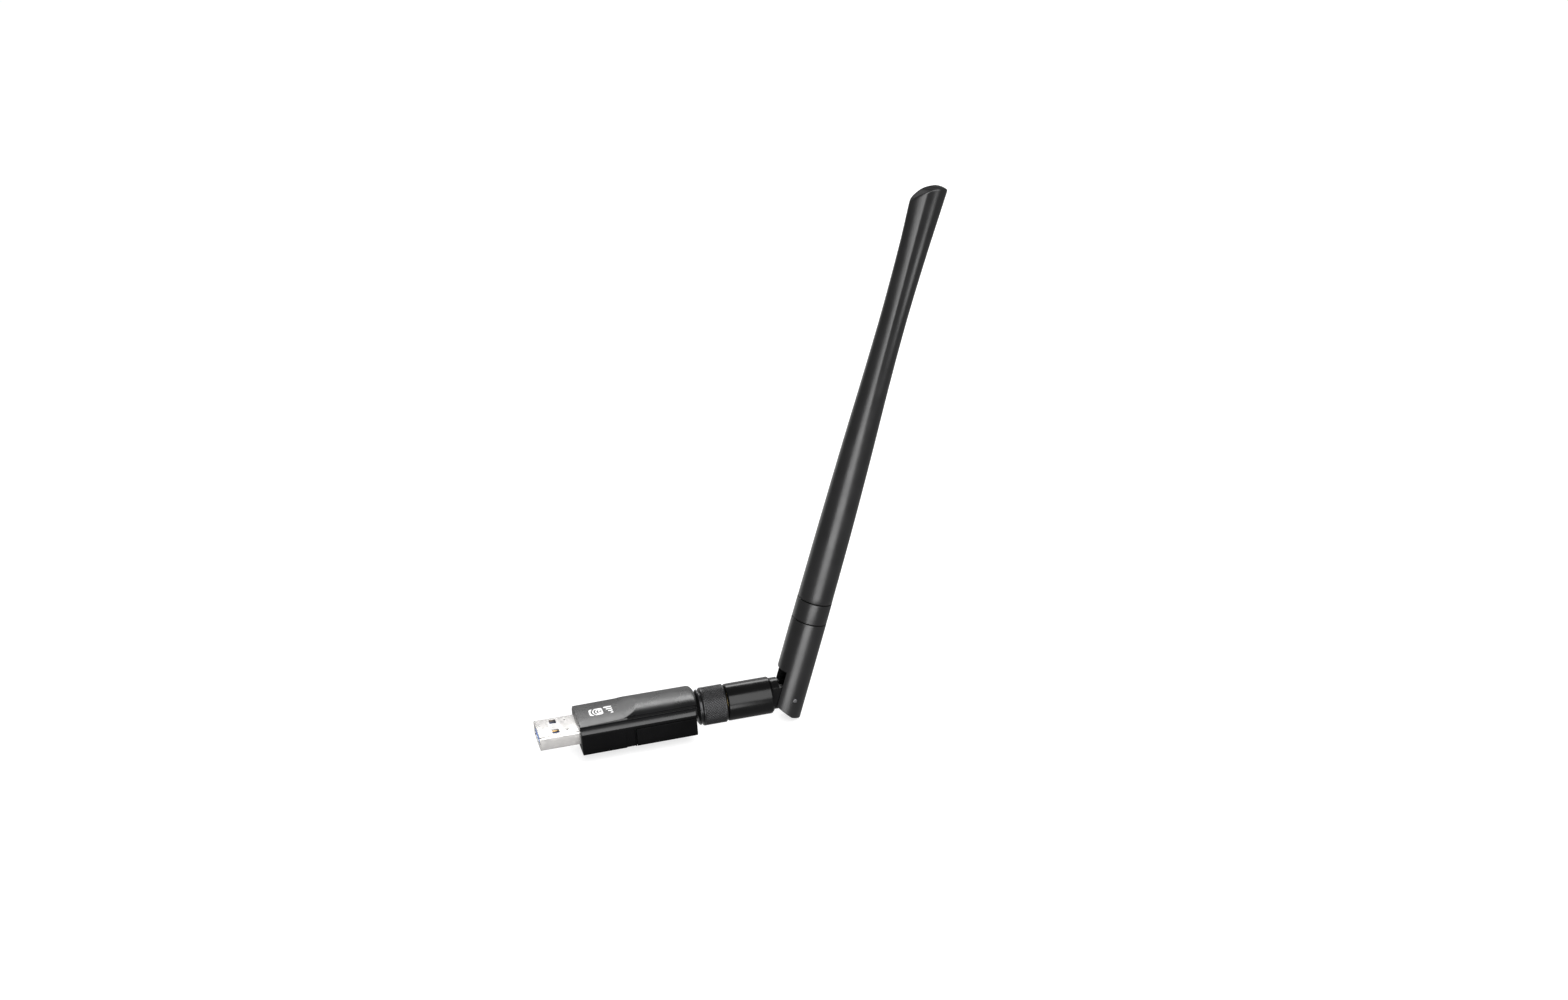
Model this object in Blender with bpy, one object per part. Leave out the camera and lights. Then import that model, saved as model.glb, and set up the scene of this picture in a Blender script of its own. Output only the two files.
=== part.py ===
"""USB 3 wireless network adapter with a hinged, screw-on paddle antenna.

Frame: the origin is on the plug's axis at the housing's nose face. +X runs from the plug
towards the antenna, +Y runs across the housing, and +Z points out of its crowned top.
Lengths are written in millimetres and multiplied by MM once, when a mesh is made.
"""

from math import cos, pi, radians, sin, sqrt

import bmesh
import bpy
from mathutils import Euler, Vector

MM = 0.001

# ---- driving dimensions, millimetres -------------------------------------------------
FIT = 0.05          # glued or pressed pieces stand this far apart
SLIDE = 0.1         # pieces that are put together by hand

PLUG_OUT = 12.4     # plug shell in front of the housing
PLUG_IN = 4.6       # plug shell inside the housing
PLUG_W = 12.0
PLUG_H = 4.5
SHELL_T = 0.3
SHELL_R = 0.55
WINDOW_X = -6.9     # centre of the latch windows
WINDOW_Y = 3.25
WINDOW_SIZE = (2.1, 2.5)
DIMPLE_X = -3.3
DIMPLE_SIZE = (0.7, 0.5)

CASE_L = 35.6
CASE_W_NOSE = 18.1
CASE_W_TAIL = 17.4
CASE_FLOOR = -4.71
SHOULDER_Z = 1.65   # top of the upright side walls
DECK_Z = 3.7        # top of the sloped shoulder, foot of the crown
DECK_Y = 7.5
CROWN_H = 2.25
CROWN_POWER = 2.4
EDGE_R = 0.5
TAIL_R = 1.2        # rounding of the crown's rear end
TAIL_DROP = 0.7     # share of the crown's height left at its rear end
TAIL_BULGE = 1.3    # how far the crown runs out over the nut, on the centre line
TAIL_REACH = 6.0    # length over which it runs out
NOSE_EASE = 0.15
WALL = 1.3
SEAM_Z = 1.1        # top of the lower case's side walls
SEAM_GAP = 0.2
STEP_X = 16.75      # where the lower case's side walls begin
GRIP_X = (13.5, 16.3)
GRIP_DEPTH = 0.35
FACET_Z_NOSE = 4.5
FACET_Z = 4.8
FACET_X = 13.4
RAMP_END_X = 18.4

BOARD_X = (4.8, 31.8)
BOARD_T = 0.8

AXIS_Z = 0.26       # axis of the aerial socket, the nut and the swivel barrel
THREAD_R = 3.1
JACK_END = 41.5
MATE_X = 39.6       # where the two connectors' insulators meet
NUT_X = (37.05, 46.1)
NUT_R = 5.9
BARREL_X = (46.4, 60.6)
BARREL_R = 5.73
TONGUE_TOP_R = 5.2
TONGUE_UNDER_R = 4.6    # swings inside the fork's round back wall
TONGUE_Y = 3.7
STEP_DOWN_X = 62.95  # the tongue drops to a lower eye here
EYE_TOP_Z = 3.8
CABLE_R = 0.9
CABLE_SLOT_Y = 1.3  # half the tongue's open channel for the cable
CABLE_FOOT = 3.75   # height of the upper cable's end, clear of the tongue's nose at every tilt

PIN_DROP = 1.0      # the tilt axis lies this far below the barrel's axis and behind the mast's
PIN_X = 67.2
PIN_Z = AXIS_Z - PIN_DROP
PIN_R = 0.75
REST_TILT = 71.0    # mast's angle from the barrel's axis, degrees
MAST_R = 5.5
FORK_FOOT = -6.6    # heights on the mast are measured from the pin
# underside of the fork seen from the side: a diagonal in front, then a nearly level base
FORK_UNDERSIDE = [(-9.0, -1.16), (0.35, -5.65), (9.0, -6.8)]
FORK_TOP = 25.5
SLOT_Y = 4.0
SLOT_R = 4.75       # round inside of the fork's back wall
SLOT_TOP = 8.5
COLLAR = (25.75, 32.2)
RADOME_FOOT = 32.45
RADOME_TIP = 164.8
TIP_SLANT = 0.078   # how fast the tip's rim falls away from its highest point, 1/mm
TIP_PEAK = 2.0      # highest point of the rim, behind the pin


# ---- materials -------------------------------------------------------------------------
FINISHES = {
    "case_plastic": ((0.022, 0.022, 0.024), 0.38, 0.0),
    "antenna_plastic": ((0.018, 0.018, 0.019), 0.45, 0.0),
    "nickel": ((0.72, 0.70, 0.67), 0.25, 1.0),
    "black_metal": ((0.015, 0.015, 0.016), 0.35, 0.4),
    "gold": ((0.83, 0.61, 0.24), 0.25, 1.0),
    "brass": ((0.75, 0.58, 0.28), 0.30, 1.0),
    "blue_plastic": ((0.12, 0.28, 0.62), 0.40, 0.0),
    "white_insulator": ((0.80, 0.80, 0.77), 0.50, 0.0),
    "board_green": ((0.03, 0.16, 0.07), 0.40, 0.0),
    "chip_black": ((0.02, 0.02, 0.02), 0.55, 0.0),
    "ceramic": ((0.55, 0.44, 0.32), 0.50, 0.0),
    "rubber": ((0.35, 0.08, 0.05), 0.70, 0.0),
    "cable_jacket": ((0.02, 0.02, 0.02), 0.50, 0.0),
    "steel": ((0.55, 0.55, 0.56), 0.30, 1.0),
}


def finish(obj, name):
    """Give obj the named material, made once."""
    material = bpy.data.materials.get(name)
    if material is None:
        colour, roughness, metallic = FINISHES[name]
        material = bpy.data.materials.new(name)
        material.use_nodes = True
        shader = material.node_tree.nodes["Principled BSDF"]
        shader.inputs["Base Color"].default_value = (*colour, 1.0)
        shader.inputs["Roughness"].default_value = roughness
        shader.inputs["Metallic"].default_value = metallic
    obj.data.materials.append(material)


# ---- mesh helpers ----------------------------------------------------------------------
def to_object(bm, name, material=None):
    """Close bm into an object in metres, with its faces pointing out."""
    bmesh.ops.recalc_face_normals(bm, faces=bm.faces)
    bmesh.ops.scale(bm, vec=(MM, MM, MM), verts=bm.verts)
    mesh = bpy.data.meshes.new(name)
    bm.to_mesh(mesh)
    bm.free()
    mesh.shade_smooth()
    mesh.set_sharp_from_angle(angle=radians(32))
    obj = bpy.data.objects.new(name, mesh)
    bpy.context.collection.objects.link(obj)
    if material:
        finish(obj, material)
    return obj


def block(name, low, high, material=None):
    """A box from its two opposite corners."""
    low, high = Vector(low), Vector(high)
    bm = bmesh.new()
    bmesh.ops.create_cube(bm, size=1.0)
    bmesh.ops.scale(bm, vec=high - low, verts=bm.verts)
    bmesh.ops.translate(bm, vec=(low + high) / 2, verts=bm.verts)
    return to_object(bm, name, material)


def turned(name, profile, segments, material=None, axis="X", centre=(0, 0, 0)):
    """Turn (place along the axis, radius) points about an axis through centre.

    A profile that starts and ends at radius 0 is a solid; any other is closed on itself.
    """
    along = {"X": Vector((1, 0, 0)), "Y": Vector((0, 1, 0)), "Z": Vector((0, 0, 1))}[axis]
    out = Vector((0, 0, 1)) if axis != "Z" else Vector((1, 0, 0))
    bm = bmesh.new()
    verts = [bm.verts.new(along * place + out * radius) for place, radius in profile]
    edges = [bm.edges.new(pair) for pair in zip(verts, verts[1:])]
    if profile[0][1] > 0:
        edges.append(bm.edges.new((verts[-1], verts[0])))
    bmesh.ops.spin(bm, geom=verts + edges, cent=(0, 0, 0), axis=along, angle=2 * pi,
                   steps=segments, use_duplicate=False)
    bmesh.ops.remove_doubles(bm, verts=bm.verts, dist=1e-4)
    bmesh.ops.translate(bm, vec=centre, verts=bm.verts)
    return to_object(bm, name, material)


def rod(name, start, end, radius, segments, material=None, axis="X", centre=(0, 0, 0)):
    """A plain solid cylinder along an axis through centre."""
    profile = [(start, 0), (start, radius), (end, radius), (end, 0)]
    return turned(name, profile, segments, material, axis, centre)


def plate(name, outline, axis, start, end, material=None):
    """Extrude a flat outline along Y or X; the outline is (x, z) for Y and (y, z) for X."""
    bm = bmesh.new()
    lift = {"X": lambda a, b: (start, a, b), "Y": lambda a, b: (a, start, b)}[axis]
    face = bm.faces.new([bm.verts.new(lift(a, b)) for a, b in outline])
    grown = bmesh.ops.extrude_face_region(bm, geom=[face])["geom"]
    shift = Vector((end - start, 0, 0)) if axis == "X" else Vector((0, end - start, 0))
    moved = [item for item in grown if isinstance(item, bmesh.types.BMVert)]
    bmesh.ops.translate(bm, vec=shift, verts=moved)
    return to_object(bm, name, material)


def loft(name, rings, material=None, paired_end=False):
    """Skin between rings; paired_end closes the last, mirrored ring with strips across Y."""
    bm = bmesh.new()
    rows = [[bm.verts.new(p) for p in ring] for ring in rings]
    count = len(rows[0])
    for a, b in zip(rows, rows[1:]):
        for i in range(count):
            bm.faces.new((a[i], a[(i + 1) % count], b[(i + 1) % count], b[i]))
    bm.faces.new(list(reversed(rows[0])))
    last = rows[-1]
    if paired_end:
        for i in range(count // 2):
            strip = (last[i], last[i + 1], last[count - 2 - i], last[count - 1 - i])
            bm.faces.new(list(dict.fromkeys(strip)))
    else:
        bm.faces.new(last)
    return to_object(bm, name, material)


def arc(centre, radius, start, end, steps):
    """Points on an arc, angles in degrees from the first axis towards the second."""
    angles = [radians(start + (end - start) * i / steps) for i in range(steps + 1)]
    return [(centre[0] + radius * cos(a), centre[1] + radius * sin(a)) for a in angles]


def rounded_rectangle(width, height, radius, steps=3):
    """Corner-rounded rectangle about the origin."""
    x, z = width / 2 - radius, height / 2 - radius
    corners = ((x, z, 0), (-x, z, 90), (-x, -z, 180), (x, -z, 270))
    return [p for cx, cz, a in corners for p in arc((cx, cz), radius, a, a + 90, steps)]


def combine(obj, tools, operation):
    """Apply an exact Boolean of each tool to obj, then drop the tool."""
    for tool in tools:
        modifier = obj.modifiers.new("bool", "BOOLEAN")
        modifier.operation = operation
        modifier.solver = "EXACT"
        modifier.object = tool
        graph = bpy.context.evaluated_depsgraph_get()
        mesh = bpy.data.meshes.new_from_object(obj.evaluated_get(graph))
        obj.modifiers.clear()
        obj.data = mesh
        bpy.data.objects.remove(tool)
    obj.data.shade_smooth()
    obj.data.set_sharp_from_angle(angle=radians(32))
    return obj


def cut(obj, *tools):
    return combine(obj, tools, "DIFFERENCE")


def add(obj, *tools):
    return combine(obj, tools, "UNION")


# ---- housing ---------------------------------------------------------------------------
def case_half_width(x):
    """Half the housing's width: it narrows a little towards the tail."""
    return (CASE_W_NOSE + (CASE_W_TAIL - CASE_W_NOSE) * x / CASE_L) / 2


def case_section(x, pull=0.0, crown=1.0):
    """Outline of the housing across X, pulled in by pull, with the crown's height scaled."""
    w = case_half_width(x) - pull
    deck = DECK_Y * case_half_width(x) / (CASE_W_NOSE / 2) - pull
    floor = CASE_FLOOR + pull
    half = [(w - EDGE_R, floor), (w - EDGE_R * 0.3, floor + EDGE_R * 0.3), (w, floor + EDGE_R),
            (w, SHOULDER_Z - 0.25), (w - 0.12, SHOULDER_Z + 0.1), (deck + 0.1, DECK_Z - 0.1)]
    steps = 9
    for i in range(steps + 1):
        a = pi / 2 * i / steps
        half.append((deck * abs(cos(a)) ** (2 / CROWN_POWER),
                     DECK_Z + CROWN_H * crown * sin(a) ** (2 / CROWN_POWER)))
    points = [(y, z) for y, z in half] + [(-y, z) for y, z in reversed(half[:-1])]
    run = TAIL_BULGE * max(0.0, (x - CASE_L + TAIL_REACH) / TAIL_REACH) ** 2
    return [(x + run * (1 - min(1.0, abs(y) / case_half_width(x)) ** 2)
             if z > SHOULDER_Z else x, y, z) for y, z in points]


def case_blank(name):
    """The housing's outer form, with an eased nose and a tail that bulges over the nut."""
    rings = [case_section(0.0, NOSE_EASE), case_section(NOSE_EASE)]
    rings += [case_section(x) for x in (8.0, 17.0, 26.0, CASE_L - TAIL_REACH, 31.5, 33.0,
                                        CASE_L - TAIL_R)]
    steps = 4
    for i in range(1, steps + 1):
        a = pi / 2 * i / steps
        x = CASE_L - TAIL_R + TAIL_R * sin(a)
        pull = 0.0 if i < steps else 0.3
        rings.append(case_section(x, pull, TAIL_DROP + (1 - TAIL_DROP) * cos(a)))
    return loft(name, rings, paired_end=True)


def facet_cutter():
    """What lies above the flat front facet and the ramp that climbs to the crown."""
    top = 9.0
    climb = (DECK_Z + CROWN_H - FACET_Z) / (RAMP_END_X - FACET_X)
    reach = 6.0
    outline = [(-1.0, FACET_Z_NOSE), (FACET_X, FACET_Z),
               (FACET_X + reach, FACET_Z + reach * climb), (FACET_X + reach, top), (-1.0, top)]
    return plate("facet_cutter", outline, "Y", -10.0, 10.0)


def upper_cover():
    cover = case_blank("upper_cover")
    finish(cover, "case_plastic")
    inner = case_half_width(CASE_L) - WALL
    roof = 3.3
    grips = [block("grip", (GRIP_X[0], side * (case_half_width(15.0) - GRIP_DEPTH), CASE_FLOOR - 1),
                   (GRIP_X[1], side * 12.0, SHOULDER_Z - 0.15)) for side in (-1, 1)]
    nose_hole = plate("nose_hole", rounded_rectangle(PLUG_W + 2 * SLIDE, PLUG_H + 2 * SLIDE,
                                                     SHELL_R), "X", -1.0, WALL + 1)
    cut(cover,
        facet_cutter(),
        block("room", (WALL, -inner, CASE_FLOOR - 1), (CASE_L - WALL, inner, 1.2)),
        block("loft_room", (WALL, -6.2, 0.5), (CASE_L - WALL, 6.2, roof)),
        block("lower_rear", (STEP_X - SEAM_GAP, -12.0, CASE_FLOOR - 1),
              (CASE_L + 1, 12.0, SEAM_Z + SEAM_GAP)),
        nose_hole,
        rod("jack_hole", CASE_L - 3, CASE_L + 1, THREAD_R + 2 * SLIDE, 32, centre=(0, 0, AXIS_Z)),
        *grips)
    return cover


def lower_case():
    """Floor plate in front, full-width tray behind, with posts under the board."""
    floor_top = CASE_FLOOR + 1.2
    inner = case_half_width(CASE_L) - WALL
    rings = []
    for x in (STEP_X, CASE_L - 0.3, CASE_L):
        pull = 0.3 if x == CASE_L else 0.0
        w = case_half_width(x) - pull
        half = [(w - EDGE_R, CASE_FLOOR + pull), (w - EDGE_R * 0.3, CASE_FLOOR + pull + EDGE_R * 0.3),
                (w, CASE_FLOOR + pull + EDGE_R), (w, SEAM_Z - 0.15), (w - 0.15, SEAM_Z)]
        rings.append([(x, y, z) for y, z in half] + [(x, -y, z) for y, z in reversed(half)])
    tray = loft("lower_case", rings, "case_plastic")
    cut(tray,
        block("room", (STEP_X - 1, -inner, floor_top), (CASE_L - WALL, inner, 3)),
        rod("jack_hole", CASE_L - 3, CASE_L + 1, THREAD_R + 2 * SLIDE, 32, centre=(0, 0, AXIS_Z)))
    front = block("front_floor", (WALL + SLIDE, -inner + SLIDE, CASE_FLOOR),
                  (STEP_X + 1, inner - SLIDE, floor_top))
    posts = [block("post", (x - 0.8, side * 6.0 - 0.8, floor_top - 0.5),
                   (x + 0.8, side * 6.0 + 0.8, -BOARD_T - SLIDE))
             for x in (12.0, 28.0) for side in (-1, 1)]
    return add(tray, front, *posts)


# ---- plug ------------------------------------------------------------------------------
def usb_shell():
    shell = plate("usb_shell", rounded_rectangle(PLUG_W, PLUG_H, SHELL_R), "X",
                  -PLUG_OUT, PLUG_IN, "nickel")
    hollow = rounded_rectangle(PLUG_W - 2 * SHELL_T, PLUG_H - 2 * SHELL_T, SHELL_R - SHELL_T)
    tools = [plate("hollow", hollow, "X", -PLUG_OUT - 1, PLUG_IN + 1)]
    for side in (-1, 1):
        for x, (length, width), low in ((WINDOW_X, WINDOW_SIZE, -5.0), (DIMPLE_X, DIMPLE_SIZE, 1.0)):
            y = side * WINDOW_Y
            tools.append(block("window", (x - length / 2, y - width / 2, low),
                               (x + length / 2, y + width / 2, 5.0)))
    cut(shell, *tools)
    tabs = [block("tab", (PLUG_IN - 0.5, min(side * 6.0, side * 5.7), -1.6),
                  (8.3, max(side * 6.0, side * 5.7), 0.8)) for side in (-1, 1)]
    return add(shell, *tabs)


def plug_inside():
    """Tongue, terminal holder and the two rows of contacts."""
    width = PLUG_W - 2 * (SHELL_T + FIT)
    inside = PLUG_H / 2 - SHELL_T - FIT
    for name, start, low, high in (("usb_tongue", -PLUG_OUT + 0.35, -inside, 0.0),
                                   ("usb_rear_block", -3.0, 0.6, inside)):
        outline = [(y, z + (low + high) / 2)
                   for y, z in rounded_rectangle(width, high - low, SHELL_R - SHELL_T)]
        plate(name, outline, "X", start, PLUG_IN, "blue_plastic")
    for number, y in enumerate((-3.5, -1.0, 1.0, 3.5), 1):
        block(f"usb_contact_{number}", (-11.2, y - 0.5, 0.05), (6.6, y + 0.5, 0.2), "gold")
    spring = [(-5.2, 0.35), (-4.4, 0.85), (-3.6, 0.35), (7.1, 0.35), (7.1, 0.05), (8.4, 0.05),
              (8.4, 0.17), (7.25, 0.17), (7.25, 0.5), (-3.52, 0.5), (-4.4, 1.0), (-5.28, 0.46)]
    for number, y in enumerate((-4.0, -2.0, 0.0, 2.0, 4.0), 1):
        plate(f"usb3_contact_{number}", spring, "Y", y - 0.35, y + 0.35, "gold")


# ---- electronics -----------------------------------------------------------------------
def electronics():
    front, back = BOARD_X
    board = block("circuit_board", (front, -7.2, -BOARD_T), (back, 7.2, 0.0), "board_green")
    cut(board, *[block("notch", (front - 1, min(side * 5.5, side * 9), -2),
                       (8.8, max(side * 5.5, side * 9), 2)) for side in (-1, 1)])
    can = block("rf_shield", (19.6, -5.2, SLIDE), (28.4, 5.2, 1.8), "steel")
    cut(can, block("inside", (19.8, -5.0, -1), (28.2, 5.0, 1.6)))
    parts = {
        "wifi_chip": ((11.2, -3.2), (17.6, 3.2), 0.9, "chip_black"),
        "frontend_chip": ((22.0, -2.0), (26.0, 2.0), 0.75, "chip_black"),
        "crystal": ((12.6, 4.2), (15.8, 6.7), 0.8, "steel"),
        "regulator": ((9.4, 4.2), (11.2, 7.0), 1.1, "chip_black"),
        "inductor": ((9.2, -6.1), (12.0, -3.4), 1.5, "chip_black"),
        "capacitor_1": ((9.0, -1.0), (10.2, 1.0), 1.1, "ceramic"),
        "capacitor_2": ((13.6, -6.4), (14.8, -4.4), 1.1, "ceramic"),
        "capacitor_3": ((16.2, -6.4), (17.4, -4.4), 1.1, "ceramic"),
    }
    for name, ((x0, y0), (x1, y1), height, material) in parts.items():
        block(name, (x0, y0, FIT), (x1, y1, height), material)


# ---- aerial socket on the housing ------------------------------------------------------
def socket():
    centre = (0, 0, AXIS_Z)
    flange = CASE_L - WALL - SLIDE
    body = turned("jack_body", [(flange, THREAD_R), (JACK_END - 0.3, THREAD_R),
                                (JACK_END, THREAD_R - 0.3), (JACK_END, 2.33), (MATE_X, 2.33),
                                (MATE_X, 2.1), (32.4, 2.1), (32.4, THREAD_R)], 32, "black_metal",
                  centre=centre)
    collar = block("collar", (32.4, -3.9, AXIS_Z - 3.6), (flange, 3.9, AXIS_Z + 2.9))
    bore = rod("bore", 30, 36, 2.1, 32, centre=centre)
    legs = [block("leg", (28.8, side * 3.0 - 0.5, low), (32.6, side * 3.0 + 0.5, high))
            for side in (-1, 1) for low, high in ((SLIDE, 1.2), (-2.0, -BOARD_T - SLIDE))]
    add(body, cut(collar, bore), *legs)
    turned("jack_insulator", [(32.5, 0.7), (32.5, 2.05), (MATE_X - FIT, 2.05), (MATE_X - FIT, 0.7)],
           24, "white_insulator", centre=centre)
    turned("jack_center_pin", [(29.2, 0), (29.2, 0.2), (32.3, 0.2), (32.3, 0.62),
                               (MATE_X - 0.2, 0.62), (MATE_X - 0.2, 0.45), (JACK_END - 0.5, 0.45),
                               (JACK_END - 0.2, 0.25), (JACK_END - 0.2, 0)], 16, "gold",
           centre=centre)


# ---- connector on the antenna ----------------------------------------------------------
def antenna_connector():
    centre = (0, 0, AXIS_Z)
    face = MATE_X + SLIDE
    ring = (43.3, 44.2)
    clip = (47.2, 48.2)
    flange = (42.1, 43.1)
    turned("plug_ferrule", [
        (face, 2.1), (face, 2.25), (flange[0], 2.25), (flange[0], THREAD_R), (flange[1], THREAD_R),
        (flange[1], 2.85), (ring[0], 2.85), (ring[0], 2.5), (ring[1], 2.5), (ring[1], 2.85),
        (clip[0], 2.85), (clip[0], 2.3), (clip[1], 2.3), (clip[1], 2.85), (50.5, 2.85),
        (50.5, 1.1), (46.0, 1.1), (46.0, 2.1)], 32, "brass", centre=centre)
    turned("plug_insulator", [(face + FIT, 0.85), (face + FIT, 2.05), (45.9, 2.05), (45.9, 0.85)],
           24, "white_insulator", centre=centre)
    turned("plug_socket", [(face + FIT, 0.52), (face + FIT, 0.8), (45.5, 0.8), (46.4, 0.35),
                           (49.0, 0.35), (49.0, 0), (43.0, 0), (43.0, 0.52)], 16, "gold",
           centre=centre)
    turned("sealing_gasket", [(41.6, 2.35), (41.6, 3.0), (42.0, 3.0), (42.0, 2.35)], 32, "rubber",
           centre=centre)
    start, end = NUT_X
    turned("coupling_nut", [
        (start, 3.5), (start, 4.6), (start + 0.2, 5.0), (start + 0.55, 5.5), (37.9, 5.5),
        (37.9, 4.7), (38.5, 4.7), (38.5, 5.6), (38.85, NUT_R), (end - 0.35, NUT_R), (end, 5.5),
        (end, 3.0), (ring[1], 3.0), (ring[1], 3.5), (ring[0], 3.5), (ring[0], 3.25),
        (start + 0.3, 3.25)], 48, "black_metal", centre=centre)
    turned("snap_ring", [(43.45, 2.6), (43.45, 3.4), (44.05, 3.4), (44.05, 2.6)], 32, "steel",
           centre=centre)
    turned("swivel_clip", [(47.35, 2.4), (47.35, 3.3), (48.05, 3.3), (48.05, 2.4)], 32, "steel",
           centre=centre)


def tongue_nose():
    """Rounded end of the hinge tongue, turned about the pin to clear the fork's back wall."""
    steps = 10
    profile = [(-TONGUE_Y, 0)]
    for i in range(steps + 1):
        y = TONGUE_Y * (2 * i / steps - 1)
        profile.append((y, sqrt(TONGUE_UNDER_R**2 - y**2) - PIN_DROP))
    profile.append((TONGUE_Y, 0))
    return turned("tongue_nose", profile, 32, axis="Y", centre=(PIN_X, 0, PIN_Z))


def swivel_barrel():
    """Round barrel that turns on the ferrule, with a flat-sided hinge tongue."""
    start, end = BARREL_X
    barrel = turned("swivel_barrel", [
        (start, 5.4), (start + 0.3, BARREL_R), (end - 0.4, BARREL_R), (end + 0.1, TONGUE_TOP_R),
        (PIN_X, TONGUE_TOP_R), (PIN_X, 1.2), (54.0, 1.2), (54.0, 2.95), (48.35, 2.95),
        (48.35, 3.45), (47.05, 3.45), (47.05, 2.95), (start, 2.95)], 48, "antenna_plastic",
        centre=(0, 0, AXIS_Z))
    foot = end + 0.15
    far = PIN_X + 9
    sides = [block("side", (foot, min(side * TONGUE_Y, side * 9), -9),
                   (far, max(side * TONGUE_Y, side * 9), 9)) for side in (-1, 1)]
    under = cut(block("under", (foot, -9, -9), (far, 9, AXIS_Z)),
                rod("keep", foot - 1, far + 1, TONGUE_UNDER_R, 48, centre=(0, 0, AXIS_Z)))
    corner_r = 0.9
    step = [(STEP_DOWN_X, 12), (STEP_DOWN_X, EYE_TOP_Z)]
    step += arc((PIN_X - corner_r, EYE_TOP_Z - corner_r), corner_r, 90, 0, 4)
    step += [(far, EYE_TOP_Z - corner_r), (far, 12)]
    cut(barrel, *sides, under, plate("step", step, "Y", -9.0, 9.0))
    add(barrel, tongue_nose())
    cut(barrel,
        block("cable_slot", (PIN_X - 3.8, -CABLE_SLOT_Y, PIN_Z - 0.2), (far, CABLE_SLOT_Y, 9)),
        rod("pin_bore", -9, 9, PIN_R + FIT, 24, axis="Y", centre=(PIN_X, 0, PIN_Z)))
    rod("feed_cable_lower", 50.8, PIN_X - 4.4, CABLE_R, 12, "cable_jacket", centre=(0, 0, AXIS_Z))


# ---- mast, built upright about the pin and tilted with its empty -----------------------
def mast_pivot():
    pivot = bpy.data.objects.new("mast_pivot", None)
    pivot.location = (PIN_X * MM, 0, PIN_Z * MM)
    pivot.rotation_euler = Euler((0, radians(90.0 - REST_TILT), 0))
    bpy.context.collection.objects.link(pivot)
    return pivot


def antenna_fork():
    centre = (-PIN_DROP, 0, 0)
    fork = turned("antenna_fork", [(FORK_FOOT, 0), (FORK_FOOT, MAST_R), (FORK_TOP - 0.2, MAST_R),
                                   (FORK_TOP, MAST_R - 0.2), (FORK_TOP, 0)], 48,
                  "antenna_plastic", axis="Z", centre=centre)
    back = cut(rod("slot_back", FORK_FOOT - 1, SLOT_TOP, SLOT_R, 48, axis="Z", centre=centre),
               *[block("side", (-9, min(side * SLOT_Y, side * 9), FORK_FOOT - 2),
                       (9, max(side * SLOT_Y, side * 9), SLOT_TOP + 1)) for side in (-1, 1)])
    underside = FORK_UNDERSIDE + [(9, FORK_FOOT - 3), (-9, FORK_FOOT - 3)]
    return cut(fork,
               block("slot", (-9, -SLOT_Y, FORK_FOOT - 1), (-PIN_DROP, SLOT_Y, SLOT_TOP)),
               back,
               plate("underside", underside, "Y", -9.0, 9.0),
               rod("bore", SLOT_TOP + 1.5, FORK_TOP + 1, 4.3, 32, axis="Z", centre=centre),
               rod("cable_hole", SLOT_TOP - 1, SLOT_TOP + 2, 1.3, 16, axis="Z",
                   centre=(-PIN_DROP / 2, 0, 0)),
               rod("pin_hole", -9, 9, PIN_R + FIT, 24, axis="Y"))


def blend(stations, place):
    """Smooth value at place: cubic through (place, value) stations, end slopes kept."""
    slopes = []
    for i in range(len(stations)):
        before, after = stations[max(i - 1, 0)], stations[min(i + 1, len(stations) - 1)]
        slopes.append((after[1] - before[1]) / (after[0] - before[0]))
    for i in range(len(stations) - 1):
        (p0, v0), (p1, v1) = stations[i], stations[i + 1]
        if place <= p1:
            break
    span = p1 - p0
    t = (place - p0) / span
    return ((2 * t**3 - 3 * t**2 + 1) * v0 + (t**3 - 2 * t**2 + t) * span * slopes[i]
            + (3 * t**2 - 2 * t**3) * v1 + (t**3 - t**2) * span * slopes[i + 1])


# (height above the pin, full size) along the radome
BLADE_WIDTH = [(32.0, 10.8), (56.0, 10.5), (81.0, 9.7), (105.0, 8.55), (125.0, 8.15),
               (145.0, 8.9), (165.0, 10.4)]
BLADE_THICKNESS = [(32.0, 10.8), (61.0, 9.6), (101.0, 7.8), (141.0, 6.1), (165.0, 5.3)]
BLADE_SHIFT = [(32.0, 0.0), (61.0, 0.02), (111.0, 0.27), (165.0, 0.22)]


def blade_ring(height, pull, count):
    """Oval section of the radome at a height above the pin, pulled in by pull."""
    across = blend(BLADE_WIDTH, height) / 2 - pull
    thick = blend(BLADE_THICKNESS, height) / 2 - pull
    middle = -PIN_DROP - blend(BLADE_SHIFT, height)
    angles = [2 * pi * i / count for i in range(count)]
    return [(middle + across * cos(a), thick * sin(a), height) for a in angles]


def rim_height(x):
    """Height of the slanted, rounded tip at a place across the blade."""
    return RADOME_TIP - TIP_SLANT * (x - TIP_PEAK) ** 2


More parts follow.
